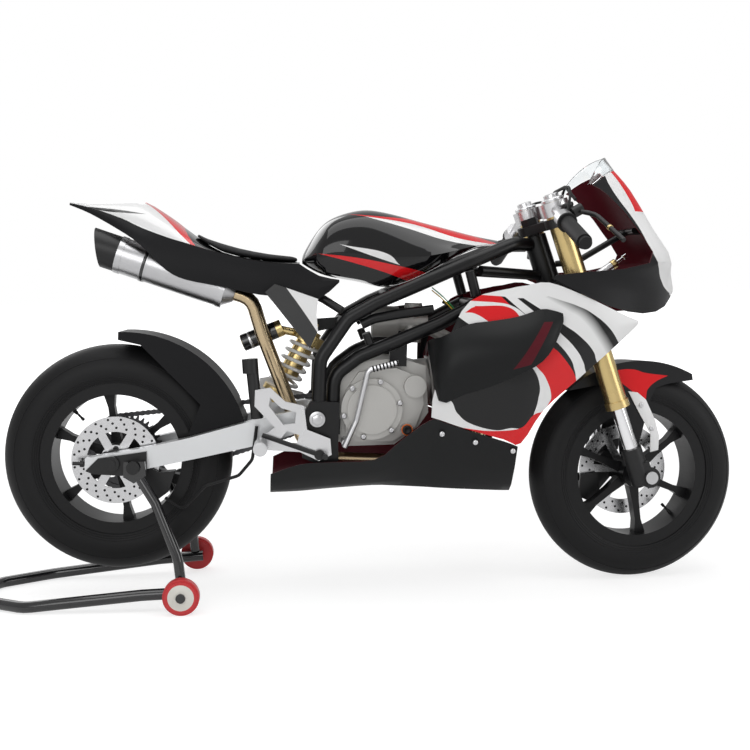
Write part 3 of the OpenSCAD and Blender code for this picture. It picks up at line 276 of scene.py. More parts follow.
@dataclass(frozen=True)
class Layer:
    """One colour of a paint scheme, laid inside all its edges."""

    colour: Colour
    edges: tuple[Edge, ...]

    def lay(self, desk: Desk, below: object) -> Socket:
        """Paints the layer over the colour below it and returns the result."""
        share = self.edges[0].mask(desk)
        for edge in self.edges[1:]:
            share = desk.math("MULTIPLY", share, edge.mask(desk))
        return desk.blend(share, below, self.colour)


@dataclass(frozen=True)
class Paint:
    """A paint scheme on a base finish, with the colour of a panel's back, the side that faces its heart."""

    finish: Finish
    layers: tuple[Layer, ...]
    lining: Optional[Colour] = None
    heart: Spot = (0.0, 0.0, 0.0)

    def material(self) -> bpy.types.Material:
        """The scheme as one material on object coordinates."""
        desk = Desk(self.finish.name)
        self.finish.shine(desk)
        colour: object = self.finish.colour
        for layer in self.layers:
            colour = layer.lay(desk, colour)
        if self.lining:
            ray = desk.add("ShaderNodeVectorMath", operation="SUBTRACT")
            desk.feed(ray.inputs[0], desk.place())
            ray.inputs[1].default_value = self.heart
            facing = desk.add("ShaderNodeVectorMath", operation="DOT_PRODUCT")
            desk.feed(facing.inputs[0], desk.add("ShaderNodeTexCoord").outputs["Normal"])
            desk.feed(facing.inputs[1], ray.outputs[0])
            colour = desk.blend(desk.math("LESS_THAN", facing.outputs["Value"], 0.0), colour, self.lining)
        desk.feed(desk.shader.inputs["Base Color"], colour)
        return desk.material


Coating = Union[Finish, Paint]


def past(colour: Colour, angle: float, points: tuple[Point, ...], soft: float = CRISP) -> Layer:
    """A layer on the left of one edge, which travels at an angle in degrees."""
    return Layer(colour, (Edge(points, True, angle, soft),))


def between(colour: Colour, top: tuple[Point, ...], bottom: tuple[Point, ...], *more: Edge) -> Layer:
    """A layer under a top edge and over a bottom edge, and inside more edges if there are any."""
    return Layer(colour, (Edge(top, False), Edge(bottom, True), *more))


def rest_selection() -> None:
    """Leaves edit mode and selects nothing, because an operator acts on all that is selected."""
    if bpy.context.mode != "OBJECT":
        bpy.ops.object.mode_set(mode="OBJECT")
    bpy.ops.object.select_all(action="DESELECT")


def take(*pieces: Piece) -> None:
    """Selects these pieces alone and makes the first one active."""
    rest_selection()
    for piece in pieces:
        piece.select_set(True)
    bpy.context.view_layer.objects.active = pieces[0]


@contextmanager
def editing(piece: Piece) -> Iterator[None]:
    """Edit mode on one piece, with everything selected in it at the start."""
    take(piece)
    bpy.ops.object.mode_set(mode="EDIT")
    bpy.ops.mesh.select_all(action="SELECT")
    yield
    bpy.ops.object.mode_set(mode="OBJECT")


def apply_place(piece: Piece) -> Piece:
    """Moves a piece's place into its mesh and returns it."""
    take(piece)
    bpy.ops.object.transform_apply(location=True, rotation=True, scale=True)
    return piece


def put(piece: Piece, at: Sequence[float], axis: Sequence[float], roll: float = 0.0) -> Piece:
    """Stands a piece that was made about the origin on a point, with its Z along an axis.

    Args:
        piece: The piece.
        at: The point, in metres.
        axis: Where the piece's Z goes.
        roll: Turn about that axis, in degrees.

    Returns:
        The piece, with its place in its mesh.
    """
    turn = Vector(axis).to_track_quat("Z", "Y").to_matrix().to_4x4()
    piece.matrix_world = Matrix.Translation(Vector(at)) @ turn @ Matrix.Rotation(math.radians(roll), 4, "Z")
    return apply_place(piece)


def modify(piece: Piece, kind: str, **settings: object) -> None:
    """Adds a modifier to a piece and applies it."""
    take(piece)
    modifier = piece.modifiers.new(kind.title(), kind)
    for key, value in settings.items():
        setattr(modifier, key, value)
    bpy.ops.object.modifier_apply(modifier=modifier.name)


def smooth(piece: Piece, angle: float = 40.0) -> Piece:
    """Shades a piece smooth, with edges sharper than the angle left hard."""
    take(piece)
    bpy.ops.object.shade_smooth_by_angle(angle=math.radians(angle))
    return piece


def outward(piece: Piece) -> None:
    """Merges doubled points of a closed piece and turns its faces outwards."""
    with editing(piece):
        bpy.ops.mesh.remove_doubles(threshold=MERGE)
        bpy.ops.mesh.normals_make_consistent(inside=False)


def bevel(piece: Piece, width: float, segments: int) -> None:
    """Bevels the hard edges of a piece by a width in millimetres."""
    modify(piece, "BEVEL", width=width * MM, segments=segments, limit_method="ANGLE",
           angle_limit=math.radians(BEVEL_FROM))


def turned(profile: Sequence[Point], sides: int, edge: float) -> Piece:
    """Turns a round piece about Z: a disc that is extruded and scaled from step to step.

    Args:
        profile: Steps of radius and height in millimetres, from the bottom to the top.
        sides: Facets round the piece; 6 makes a hexagon.
        edge: Width of the bevel on its hard edges, in millimetres.

    Returns:
        The piece, about the origin.
    """
    rest_selection()
    steps = [(radius * MM, height * MM) for radius, height in profile]
    radius, height = steps[0]
    bpy.ops.mesh.primitive_circle_add(vertices=sides, radius=radius, fill_type="NGON",
                                      location=(0, 0, height))
    piece = apply_place(bpy.context.object)
    with editing(piece):
        for wider, higher in steps[1:]:
            rise = (0.0, 0.0, higher - height)
            bpy.ops.mesh.extrude_region_move(TRANSFORM_OT_translate={"value": rise})
            grow = wider / radius
            bpy.ops.transform.resize(value=(grow, grow, 1.0), center_override=(0.0, 0.0, higher))
            radius, height = wider, higher
    outward(piece)
    if edge:
        bevel(piece, edge, 2)
    return smooth(piece)


def plate(outline: Sequence[Point], thick: float, edge: float) -> Piece:
    """Cuts a plate from an outline in X and Y, with its thickness along Z from 0.

    Args:
        outline: Corners in millimetres.
        thick: Thickness in millimetres.
        edge: Width of the bevel on its edges, in millimetres.

    Returns:
        The piece, about the origin.
    """
    rest_selection()
    bpy.ops.mesh.primitive_circle_add(vertices=len(outline), radius=1.0, fill_type="NGON")
    piece = bpy.context.object
    for vertex, (x, y) in zip(piece.data.vertices, outline):
        vertex.co = (x * MM, y * MM, 0.0)
    with editing(piece):
        bpy.ops.mesh.extrude_region_move(TRANSFORM_OT_translate={"value": (0.0, 0.0, thick * MM)})
    outward(piece)
    bevel(piece, edge, 3)
    return smooth(piece)


def piped(points: Sequence[Sequence[float]], radius: float, sides: int) -> Piece:
    """Runs a wire or cable along a smooth curve through points.

    Args:
        points: Places the run passes, in metres.
        radius: Its radius in millimetres.
        sides: How finely its section is rounded.

    Returns:
        The run as a mesh at the origin.
    """
    rest_selection()
    bpy.ops.curve.primitive_nurbs_path_add(location=(0, 0, 0))
    piece = bpy.context.object
    curve = piece.data
    curve.splines.clear()
    spline = curve.splines.new("BEZIER")
    spline.bezier_points.add(len(points) - 1)
    for knot, point in zip(spline.bezier_points, points):
        knot.co = point
        knot.handle_left_type = knot.handle_right_type = "AUTO"
    curve.bevel_depth = radius * MM
    curve.bevel_resolution = sides
    curve.resolution_u = CORD_STEPS
    curve.use_fill_caps = True
    take(piece)
    bpy.ops.object.convert(target="MESH")
    return smooth(apply_place(bpy.context.object))


def twin(piece: Piece) -> Piece:
    """A copy of a piece with a mesh of its own."""
    copy = piece.copy()
    copy.data = piece.data.copy()
    bpy.context.scene.collection.objects.link(copy)
    return copy


def joined(pieces: Sequence[Piece]) -> Piece:
    """Joins pieces into the first one and returns it."""
    take(*pieces)
    if len(pieces) > 1:
        bpy.ops.object.join()
    return pieces[0]


def patterned(piece: Piece, places: Sequence[Place]) -> Piece:
    """Copies a piece to each place and axis, and joins the copies.

    Args:
        piece: The pattern, about the origin; it is used up.
        places: A point and an axis for each copy.

    Returns:
        The joined copies.
    """
    copies = [put(twin(piece), at, axis, ROLL_STEP * number) for number, (at, axis) in enumerate(places)]
    bpy.data.objects.remove(piece, do_unlink=True)
    return joined(copies)


def enlist(piece: Piece, name: str, body: str, coating: Coating) -> None:
    """Names and dresses a finished piece, and makes it ride on a body.

    Args:
        piece: The finished piece.
        name: Its name.
        body: The CAD body it moves with.
        coating: Its finish or paint.
    """
    piece.name = name
    piece.data.name = name
    piece.data.materials.clear()
    piece.data.materials.append(coating.material())
    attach(piece, body)
    LOG.info("%s rides on %s, %d faces", name, body, len(piece.data.polygons))


def body_of(node: str) -> str:
    """The body that carries a CAD node."""
    bodies = frame["record"]["behaviour"]["bodies"]
    return next(name for name, nodes in bodies.items() if node in nodes)


def dress(node: str, coating: Coating) -> None:
    """Gives a CAD node a finish or paint."""
    solid, material = frame["nodes"][node], coating.material()
    if not solid.material_slots:
        solid.data.materials.append(material)
    for row in solid.material_slots:
        row.material = material
    LOG.info("%s dressed with %s", node, material.name)


def bare_copy(node: str) -> Piece:
    """A copy of a CAD node in the object's frame, with its points merged and no stored normals."""
    copy = twin(frame["nodes"][node])
    copy.parent = None
    copy.matrix_world = Matrix.Identity(4)
    copy.modifiers.clear()
    with editing(copy):
        bpy.ops.mesh.remove_doubles(threshold=CAD_MERGE)
        bpy.ops.mesh.customdata_custom_splitnormals_clear()
    return copy


def skin(node: str, coating: Coating, angle: float = 40.0, levels: int = 0) -> None:
    """Replaces a CAD node by a copy that is merged, shaded smooth and dressed.

    Args:
        node: The CAD node.
        coating: The copy's finish or paint.
        angle: Edges sharper than this stay hard, in degrees.
        levels: Subdivision steps that round the facets off.
    """
    copy = bare_copy(node)
    with editing(copy):
        bpy.ops.mesh.tris_convert_to_quads(face_threshold=math.radians(50),
                                           shape_threshold=math.radians(60))
        if levels:
            bpy.ops.mesh.select_all(action="DESELECT")
            bpy.ops.mesh.select_mode(type="EDGE")
            bpy.ops.mesh.edges_select_sharp(sharpness=math.radians(angle))
            bpy.ops.transform.edge_crease(value=1.0)
    if levels:
        modify(copy, "SUBSURF", levels=levels, render_levels=levels)
    smooth(copy, angle)
    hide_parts(node)
    enlist(copy, node + "_skin", body_of(node), coating)


WHITE: Colour = (0.82, 0.82, 0.82)
RED: Colour = (0.70, 0.010, 0.014)
BLACK: Colour = (0.004, 0.004, 0.0045)
MAROON: Colour = (0.085, 0.006, 0.012)

FRAME_BLACK = Finish("frame_satin_black", (0.006, 0.006, 0.0065), 0.32, grain=Grain.MOULDED, glance=0.3)
ALLOY_BLACK = Finish("black_anodised", (0.008, 0.008, 0.0085), 0.40, grain=Grain.CAST, glance=0.4)
RIM_BLACK = Finish("rim_satin_black", (0.006, 0.006, 0.0065), 0.34, glance=0.25)
SWINGARM = Finish("brushed_swingarm", (0.68, 0.69, 0.70), 0.32, 0.85, grain=Grain.BRUSHED)
CAST_ALLOY = Finish("engine_casting", (0.47, 0.463, 0.445), 0.46, 0.75, grain=Grain.CAST)
BRIGHT_ALLOY = Finish("machined_alloy", (0.66, 0.66, 0.67), 0.28, 0.95)
CHAIN_STEEL = Finish("oiled_steel", (0.10, 0.10, 0.105), 0.38, 0.9)
STEEL = Finish("brushed_steel", (0.56, 0.56, 0.57), 0.30, 1.0, grain=Grain.BRUSHED)
DISC_STEEL = Finish("disc_steel", (0.60, 0.60, 0.61), 0.26, 1.0)
CHROME = Finish("polished_chrome", (0.86, 0.86, 0.87), 0.07, 1.0, wear=0.02)
GOLD = Finish("gold_anodised", (0.63, 0.48, 0.22), 0.27, 0.95)
PIPE = Finish("heat_tinted_pipe", (0.55, 0.43, 0.27), 0.24, 1.0)
RUBBER = Finish("soft_rubber", (0.007, 0.007, 0.0075), 0.60, grain=Grain.RUBBER, glance=0.3)
TYRE = Finish("tyre_slick", (0.007, 0.007, 0.0075), 0.52, grain=Grain.RUBBER, wear=0.16, glance=0.22)
MATT_BLACK = Finish("matt_black_plastic", (0.009, 0.009, 0.010), 0.46, grain=Grain.MOULDED, glance=0.13)
CHARCOAL = Finish("charcoal_plastic", (0.010, 0.0105, 0.011), 0.42, grain=Grain.MOULDED, glance=0.17)
SPRING_WHITE = Finish("spring_gloss_white", (0.80, 0.80, 0.79), 0.30, coat=0.5)
STAND_BLACK = Finish("stand_gloss_black", (0.008, 0.008, 0.009), 0.20, coat=0.6)
STAND_RED = Finish("stand_wheel_red", (0.62, 0.035, 0.04), 0.34)
CLEAR = Finish("clear_screen", (0.93, 0.96, 0.97), 0.03, see_through=1.0, wear=0.01)
FOAM = Finish("seat_foam_black", (0.013, 0.013, 0.014), 0.72, grain=Grain.RUBBER)
STAY_WHITE = Finish("stay_white", WHITE, 0.3, coat=0.4)
HUB_WHITE = Finish("stand_hub_white", (0.78, 0.76, 0.70), 0.4)
SEAL_ORANGE = Finish("filler_seal_orange", (0.75, 0.16, 0.02), 0.4)
SLEEVE_GREEN = Finish("wire_green_sleeve", (0.03, 0.30, 0.08), 0.4)
SLEEVE_YELLOW = Finish("wire_yellow_sleeve", (0.70, 0.50, 0.04), 0.4)

# Slants of the fairing's stripes, in degrees from +X, and the line that the rear stripes end on
STEEP, BAND = -75.0, -50.0
BEHIND_SCOOP = Edge(((0.345, 0.66), (0.375, 0.52)), False, -78.0)
FAIRING = Paint(Finish("fairing_paint", BLACK, 0.22, coat=0.35, wear=0.04, glance=0.2), (
    past(WHITE, STEEP, ((0.3505, 0.5047), (0.3677, 0.4915), (0.3783, 0.4655), (0.3767, 0.4311),
                        (0.3669, 0.3969))),
    past(RED, STEEP, ((0.3613, 0.5109), (0.3763, 0.4956), (0.3935, 0.4737), (0.4063, 0.4389),
                      (0.4018, 0.4197), (0.3843, 0.4007))),
    past(BLACK, BAND, ((0.3855, 0.5638), (0.4069, 0.5419), (0.4285, 0.5222), (0.4478, 0.4981),
                       (0.4608, 0.4763))),
    past(WHITE, BAND, ((0.3942, 0.5721), (0.4156, 0.5524), (0.4415, 0.524), (0.4587, 0.4893),
                       (0.4629, 0.4719))),
    past(BLACK, BAND, ((0.4029, 0.589), (0.4287, 0.5671), (0.4589, 0.5365), (0.4761, 0.5103),
                       (0.4834, 0.4908))),
    past(WHITE, BAND, ((0.4139, 0.6012), (0.4398, 0.5836), (0.4701, 0.5614), (0.4962, 0.535),
                       (0.5092, 0.5089))),
    past(BLACK, BAND, ((0.4283, 0.6393), (0.4542, 0.6238), (0.4933, 0.5951), (0.5194, 0.5601),
                       (0.5412, 0.5294)), 0.012),
    past(WHITE, BAND, ((0.4289, 0.6393), (0.468, 0.6256), (0.4985, 0.6099), (0.5378, 0.5768),
                       (0.5597, 0.5461))),
    Layer(WHITE, (Edge(((0.1754, 0.4445), (0.1901, 0.4314), (0.2047, 0.4033), (0.2386, 0.3789),
                        (0.2813, 0.367), (0.3243, 0.3701), (0.345, 0.366), (0.46, 0.30)), False, -15.0),)),
    Layer(RED, (Edge(((0.1407, 0.4008), (0.1492, 0.3963), (0.1873, 0.3803), (0.2299, 0.3706),
                      (0.2855, 0.3648), (0.3372, 0.3698), (0.3805, 0.4007), (0.42, 0.385),
                      (0.64, 0.20)), False),)),
    Layer(RED, (Edge(((0.2228, 0.6179), (0.2503, 0.6118), (0.2672, 0.6009), (0.2883, 0.5827)), True, -35.0),
                Edge(((0.2235, 0.6186), (0.2513, 0.6307), (0.311, 0.6282), (0.345, 0.5991)), False),
                BEHIND_SCOOP)),
    between(WHITE, ((0.2646, 0.6396), (0.2901, 0.6374), (0.3157, 0.6327), (0.3604, 0.6029)),
            ((0.2513, 0.6307), (0.311, 0.6282), (0.345, 0.5991)), BEHIND_SCOOP),
    past(WHITE, 0.0, ((0.2959, 0.6507), (0.3646, 0.6451), (0.4121, 0.6500))),
), MAROON, (0.25, 0.0, 0.47))

TANK = Paint(Finish("tank_gloss_black", BLACK, 0.10, coat=0.5, wear=0.03, glance=0.2), (
    between(RED, ((-0.0712, 0.7469), (-0.0145, 0.7402), (0.0923, 0.7184), (0.1603, 0.7015)),
            ((-0.0713, 0.7454), (-0.0147, 0.7296), (0.0563, 0.707), (0.1205, 0.6822))),
    between(WHITE, ((-0.0225, 0.7644), (0.0642, 0.7459), (0.091, 0.7227)),
            ((-0.0225, 0.7623), (0.0426, 0.7378), (0.091, 0.7213))),
    between(WHITE, ((0.032, 0.826), (0.1185, 0.8118), (0.2416, 0.7738), (0.2927, 0.7643)),
            ((0.0319, 0.8245), (0.1183, 0.7989), (0.1978, 0.7731), (0.278, 0.7566))),
    between(RED, ((0.0438, 0.8281), (0.1346, 0.8195), (0.244, 0.7903), (0.3115, 0.7645)),
            ((0.032, 0.826), (0.1185, 0.8118), (0.2416, 0.7738), (0.2927, 0.7643))),
))
TAIL = Paint(Finish("tail_white_paint", WHITE, 0.24, coat=0.7, wear=0.04), (
    between(BLACK, ((-0.57, 0.8577), (-0.5213, 0.8521), (-0.4447, 0.839)),
            ((-0.5701, 0.8563), (-0.5355, 0.8474), (-0.4937, 0.8425), (-0.4447, 0.839))),
    past(RED, 0.0, ((-0.4659, 0.872), (-0.4389, 0.8567), (-0.3648, 0.7852))),
    past(BLACK, 0.0, ((-0.4384, 0.8716), (-0.4112, 0.8606), (-0.352, 0.7829))),
))
FENDER = Paint(Finish("fender_black", (0.009, 0.009, 0.010), 0.40, coat=0.1, wear=0.05, glance=0.2), (
    between(RED, ((0.5802, 0.4783), (0.6073, 0.4798), (0.6479, 0.4699), (0.7, 0.462)),
            ((0.5847, 0.4537), (0.614, 0.4307), (0.6435, 0.4031), (0.6502, 0.4297), (0.6706, 0.4493),
             (0.7, 0.462))),
))
FIN = Paint(Finish("side_fin_white", WHITE, 0.30, coat=0.5, wear=0.04), (
    Layer(BLACK, (Edge(((-0.1481, 0.6719), (-0.1072, 0.6117), (-0.0663, 0.5426)), False, -57.0),)),
))
NOSE = Paint(Finish("nose_matt_black", (0.010, 0.010, 0.011), 0.42, grain=Grain.MOULDED, glance=0.2), (
    past(WHITE, -55.0, ((0.5358, 0.9073), (0.5576, 0.8601), (0.5971, 0.8039), (0.6323, 0.7387),
                        (0.668, 0.684), (0.71, 0.646))),
    Layer(RED, (Edge(((0.545, 0.9213), (0.5671, 0.8954), (0.589, 0.8566), (0.6046, 0.8127)), True, -60.0),
                Edge(((0.5, 0.826), (0.7, 0.826)), True))),
), MAROON, (0.40, 0.0, 0.70))
SCOOP = Paint(CHARCOAL, (
    Layer(MAROON, (Edge(((0.3161, 0.4983), (0.346, 0.5375), (0.3867, 0.5952)), False, 54.0),
                   Edge(((0.3543, 0.5079), (0.3757, 0.5452), (0.4057, 0.5948)), True, 59.0),
                   Edge(((0.28, 0.489), (0.38, 0.514)), True),
                   Edge(((0.28, 0.595), (0.48, 0.595)), False))),
))
PAN = Paint(Finish("pan_charcoal", (0.011, 0.0115, 0.012), 0.42, grain=Grain.MOULDED, glance=0.2), (),
            MAROON, (0.05, 0.0, 0.42))

# CAD nodes that keep their own mesh, by finish
PLAIN = {
    FRAME_BLACK: ("frame_brackets", "fairing_stay"),
    SWINGARM: ("swingarm",),
    STEEL: ("kick_lever", "silencer_can", "front_axle"),
    DISC_STEEL: ("rear_disc", "front_disc"),
    CHAIN_STEEL: ("chain", "rear_sprocket", "front_sprocket"),
    CAST_ALLOY: ("engine_case", "engine_covers", "engine_cylinder", "carburettor"),
    BRIGHT_ALLOY: ("rearsets", "clip_ons"),
    ALLOY_BLACK: ("pivot_shaft", "silencer_tip", "rear_axle", "rear_caliper", "triple_clamps", "fork_feet",
                  "front_caliper", "brake_pedal", "gear_lever"),
    GOLD: ("shock_absorber", "fork_tubes"),
    CHROME: ("fork_sliders",),
    RUBBER: ("grips",),
    TYRE: ("rear_tyre", "front_tyre"),
    RIM_BLACK: ("rear_rim", "front_rim"),
    MATT_BLACK: ("rear_hugger",),
    STAND_RED: ("stand_wheel_right", "stand_wheel_left"),
}
# CAD nodes that get a smooth skin, by finish
SMOOTHED = {
    FRAME_BLACK: ("frame_rails", "seat_frame"),
    PIPE: ("exhaust_pipe",),
    RUBBER: ("rear_brake_hose", "front_brake_hose"),
    SPRING_WHITE: ("shock_spring",),
    STAND_BLACK: ("stand_frame",),
    ALLOY_BLACK: ("levers",),
    MATT_BLACK: ("tail_flanks",),
    CLEAR: ("windscreen",),
}

# How white the surroundings are for each kind of ray that sees them
RAY_SHARES = {"Is Camera Ray": 1.0, "Is Transmission Ray": 1.0, "Is Glossy Ray": 0.4}
# Soft boxes: name, place, aim, width and height in metres, watts
SOFT_BOXES = (
    ("overhead", (0.0, -0.3, 3.0), (0.0, 0.0, 0.4), (3.4, 2.2), 44.0),
    ("camera_side", (-1.2, -3.4, 1.7), (0.0, 0.0, 0.45), (2.6, 1.8), 34.0),
    ("front_side", (3.0, -1.8, 1.5), (0.3, 0.0, 0.45), (1.6, 2.0), 24.0),
    ("far_side", (-1.5, 2.4, 2.2), (0.0, 0.0, 0.4), (2.4, 1.6), 20.0),
)


def seen_rays(tree: bpy.types.NodeTree) -> Socket:
    """Returns how white the surroundings are for a ray that comes straight, through glass or off shine."""
    path = tree.nodes.new("ShaderNodeLightPath")
    total: Optional[Socket] = None
    for name, share in RAY_SHARES.items():
        step = tree.nodes.new("ShaderNodeMath")
        step.operation = "MULTIPLY_ADD"
        step.use_clamp = True
        tree.links.new(path.outputs[name], step.inputs[0])
        step.inputs[1].default_value = share
        step.inputs[2].default_value = 0.0
        if total is not None:
            tree.links.new(total, step.inputs[2])
        total = step.outputs[0]
    return total


@dataclass
class Studio:
    """Camera at the photograph's place, pale floor and soft lamps."""

    eye: Spot = (-0.12608, -2.55098, 0.68898)
    yaw: float = 3.75
    pitch: float = 4.75
    roll: float = 1.1
    lens: float = 54.72
    sensor: float = 36.0
    sight: float = 60.0
    pixels: int = 750
    floor_half: float = 40.0
    paper_grey: float = 0.88
    paper_roughness: float = 0.9
    glow: float = 1.45
    near_glow: float = 0.5
    fade: Point = (1.4, 4.0)
    world_light: float = 0.30

    def camera(self) -> None:
        """Sets the camera by its yaw, pitch and roll."""
        yaw, pitch, roll = (math.radians(v) for v in (self.yaw, self.pitch, self.roll))
        ahead = Vector((math.sin(yaw) * math.cos(pitch), math.cos(yaw) * math.cos(pitch), -math.sin(pitch)))
        level = Vector((math.cos(yaw), -math.sin(yaw), 0.0))
        over = level.cross(ahead)
        right = level * math.cos(roll) - over * math.sin(roll)
        up = level * math.sin(roll) + over * math.cos(roll)
        rest_selection()
        bpy.ops.object.camera_add(location=self.eye)
        camera = bpy.context.object
        turn = Matrix((right, up, -ahead)).transposed().to_4x4()
        camera.matrix_world = Matrix.Translation(self.eye) @ turn
        camera.data.lens = self.lens
        camera.data.sensor_width = self.sensor
        camera.data.clip_end = self.sight
        scene = bpy.context.scene
        scene.camera = camera
        scene.render.resolution_x = scene.render.resolution_y = self.pixels
        scene.view_settings.view_transform = "Standard"

    def floor(self) -> None:
        """Lays a plain floor that runs on beyond the picture."""
        rest_selection()
        bpy.ops.mesh.primitive_plane_add(size=2.0 * self.floor_half, location=(0, 0, 0))
        floor = bpy.context.object
        floor.name = "studio_floor"
        floor.data.materials.append(self.paper())

    def paper(self) -> bpy.types.Material:
        """White paper that keeps the shadow near the bike and is plain white farther off."""
        desk = Desk("floor_paper")
        desk.feed(desk.shader.inputs["Base Color"], (self.paper_grey,) * 3)
        desk.feed(desk.shader.inputs["Roughness"], self.paper_roughness)
        glow = desk.add("ShaderNodeEmission")
        glow.inputs["Strength"].default_value = self.glow
        away = desk.add("ShaderNodeVectorMath", operation="LENGTH")
        desk.feed(away.inputs[0], desk.place())
        spread = desk.add("ShaderNodeMapRange", interpolation_type="SMOOTHSTEP")
        for socket, value in zip(spread.inputs, (away.outputs["Value"], *self.fade, self.near_glow, 1.0)):
            desk.feed(socket, value)
        mix = desk.add("ShaderNodeMixShader")
        desk.feed(mix.inputs[0], desk.math("MULTIPLY", seen_rays(desk.tree), spread.outputs["Result"]))
        desk.feed(mix.inputs[1], desk.shader.outputs[0])
        desk.feed(mix.inputs[2], glow.outputs[0])
        desk.feed(desk.tree.nodes["Material Output"].inputs["Surface"], mix.outputs[0])
        return desk.material

    def lamps(self) -> None:
        """Hangs soft boxes over the bike and lights the world evenly."""
        for name, at, aim, (width, height), watts in SOFT_BOXES:
            rest_selection()
            bpy.ops.object.light_add(type="AREA", location=at)
            lamp = bpy.context.object
            lamp.name = "lamp_" + name
            lamp.rotation_euler = (Vector(aim) - Vector(at)).to_track_quat("-Z", "Y").to_euler()
            lamp.data.shape = "RECTANGLE"
            lamp.data.size, lamp.data.size_y, lamp.data.energy = width, height, watts
        world = bpy.data.worlds.new("studio_light")
        bpy.context.scene.world = world
        world.use_nodes = True
        tree = world.node_tree
        strength = tree.nodes.new("ShaderNodeMapRange")
        strength.inputs["To Min"].default_value = self.world_light
        tree.links.new(seen_rays(tree), strength.inputs["Value"])
        ground = tree.nodes["Background"]
        ground.inputs["Color"].default_value = (1.0, 1.0, 1.0, 1.0)
        tree.links.new(strength.outputs["Result"], ground.inputs["Strength"])

    def build(self) -> None:
        """Sets up the whole studio."""
        self.camera()
        self.floor()
        self.lamps()


def dress_solids() -> None:
    """Gives every CAD node its finish, and the faceted ones a smooth skin."""
    for finish, nodes in PLAIN.items():
        for node in nodes:
            dress(node, finish)
    for finish, nodes in SMOOTHED.items():
        for node in nodes:
            skin(node, finish)
    skin("tank", TANK, 60.0, 1)
    skin("tail_hump", TAIL, 50.0)
    dress("side_fins", FIN)
    skin("nose_cowl", NOSE, 45.0)
    dress("front_fender", FENDER)
    skin("belly_pan", PAN, 35.0)
    for side in Side:
        skin("fairing_" + side.word, FAIRING)
        skin("scoop_" + side.word, SCOOP)


@dataclass(frozen=True)
class Layout:
    """Turns places in the bike's own millimetres into metres in the object's frame."""

    wheelbase: float = 1160.0
    rear_height: float = 310.0
    front_height: float = 240.0
    middle: float = 532.0
    rake: float = 21.0
    rest_steer: float = 6.5
    axle_ahead: float = 47.0

    def bike(self) -> Matrix:
        """Frame of the bike: origin at the rear axle, X to the front axle."""
        pitch = math.asin((self.rear_height - self.front_height) / self.wheelbase)
        return Matrix.Translation((-self.middle, 0.0, self.rear_height)) @ Matrix.Rotation(pitch, 4, "Y")

    def fork(self) -> Matrix:
        """Frame of the fork: origin on the steering axis, Z up along it."""
        rake = math.radians(self.rake)
        foot = (self.wheelbase - self.axle_ahead * math.cos(rake), 0.0, -self.axle_ahead * math.sin(rake))
        steer = Matrix.Rotation(math.radians(self.rest_steer), 4, "Z")
        return self.bike() @ Matrix.Translation(foot) @ Matrix.Rotation(-rake, 4, "Y") @ steer

    def fork_plane(self, y: float) -> Matrix:
        """Stands a flat piece in a plane of the fork: its X ahead, its Y up, its Z to the right."""
        place = self.fork()
        place.translation *= MM
        stand = Matrix(((1, 0, 0, 0), (0, 0, -1, 0), (0, 1, 0, 0), (0, 0, 0, 1)))
        return place @ Matrix.Translation((0.0, y * MM, 0.0)) @ stand

    def on_bike(self, x: float, y: float, z: float) -> Vector:
        """A place on the bike."""
        return (self.bike() @ Vector((x, y, z))) * MM

    def on_fork(self, x: float, y: float, z: float) -> Vector:
        """A place on the fork."""
        return (self.fork() @ Vector((x, y, z))) * MM

    def bike_place(self, spot: Spot, axis: Spot) -> Place:
        """A place on the bike and the axis of what stands there."""
        return self.on_bike(*spot), self.bike().to_3x3() @ Vector(axis)

    def fork_place(self, spot: Spot, axis: Spot) -> Place:
        """A place on the fork and the axis of what stands there."""
        return self.on_fork(*spot), self.fork().to_3x3() @ Vector(axis)

    def both_sides(self, *spots: Spot) -> list[Place]:
        """Spots on the bike's left side and their mirror images, each with its axis outwards."""
        return [self.bike_place((x, side.value * y, z), (0, side.value, 0))
                for x, y, z in spots for side in Side]


LAY = Layout()
# Screws in a ring, and facets round each
SCREWS, SCREW_SIDES = 6, 20


def spaced(count: int, radius: float, start: float) -> list[Point]:
    """Points evenly spaced round a circle, the first one at an angle in degrees."""
    turns = [math.radians(start + 360.0 / count * number) for number in range(count)]
    return [(radius * math.cos(turn), radius * math.sin(turn)) for turn in turns]


def shifted(place: Place, *steps: float) -> list[Place]:
    """Places that lie along a place's axis, at steps in millimetres."""
    at, axis = place
    return [(at + axis.normalized() * (step * MM), axis) for step in steps]


@dataclass(frozen=True)
class Wheel:
    """A wheel in millimetres: X of its axle, radius and half width of its tyre, and its brake disc."""

    name: str
    place: Callable[[Spot, Spot], Place]
    axle: float
    tyre: float
    crown: float
    disc: float
    faces: Point
    disc_ring: float = 25.0
    disc_band: float = 33.0
    hole_rows: tuple[float, ...] = (0.26, 0.55, 0.82)
    holes: int = 20

    @property
    def body(self) -> str:
        """The body that the wheel is."""
        return self.name + "_wheel"

    def ring(self, spots: Sequence[Point], y: float, out: float) -> list[Place]:
        """Places about the axle, at Y across the wheel, that face left or, if out is negative, right."""
        return [self.place((self.axle + x, y, z), (0, out, 0)) for x, z in spots]

    def screws(self) -> list[Place]:
        """Places of the screws on the outer face of the disc's hub."""
        face = max(self.faces, key=abs)
        return self.ring(spaced(SCREWS, self.disc_ring, start=30.0), face, math.copysign(1.0, face))

    def drillings(self) -> list[Place]:
        """Places of the thin dark discs of painted shade that stand for the holes on both faces of the
        disc, in staggered rows across its band.
        """
        places = []
        for face, out in zip(self.faces, (-1.0, 1.0)):
            for row, share in enumerate(self.hole_rows):
                start = 360.0 / self.holes * row / len(self.hole_rows)
                reach = self.disc - self.disc_band * (1.0 - share)
                places += self.ring(spaced(self.holes, reach, start), face, out)
        return places


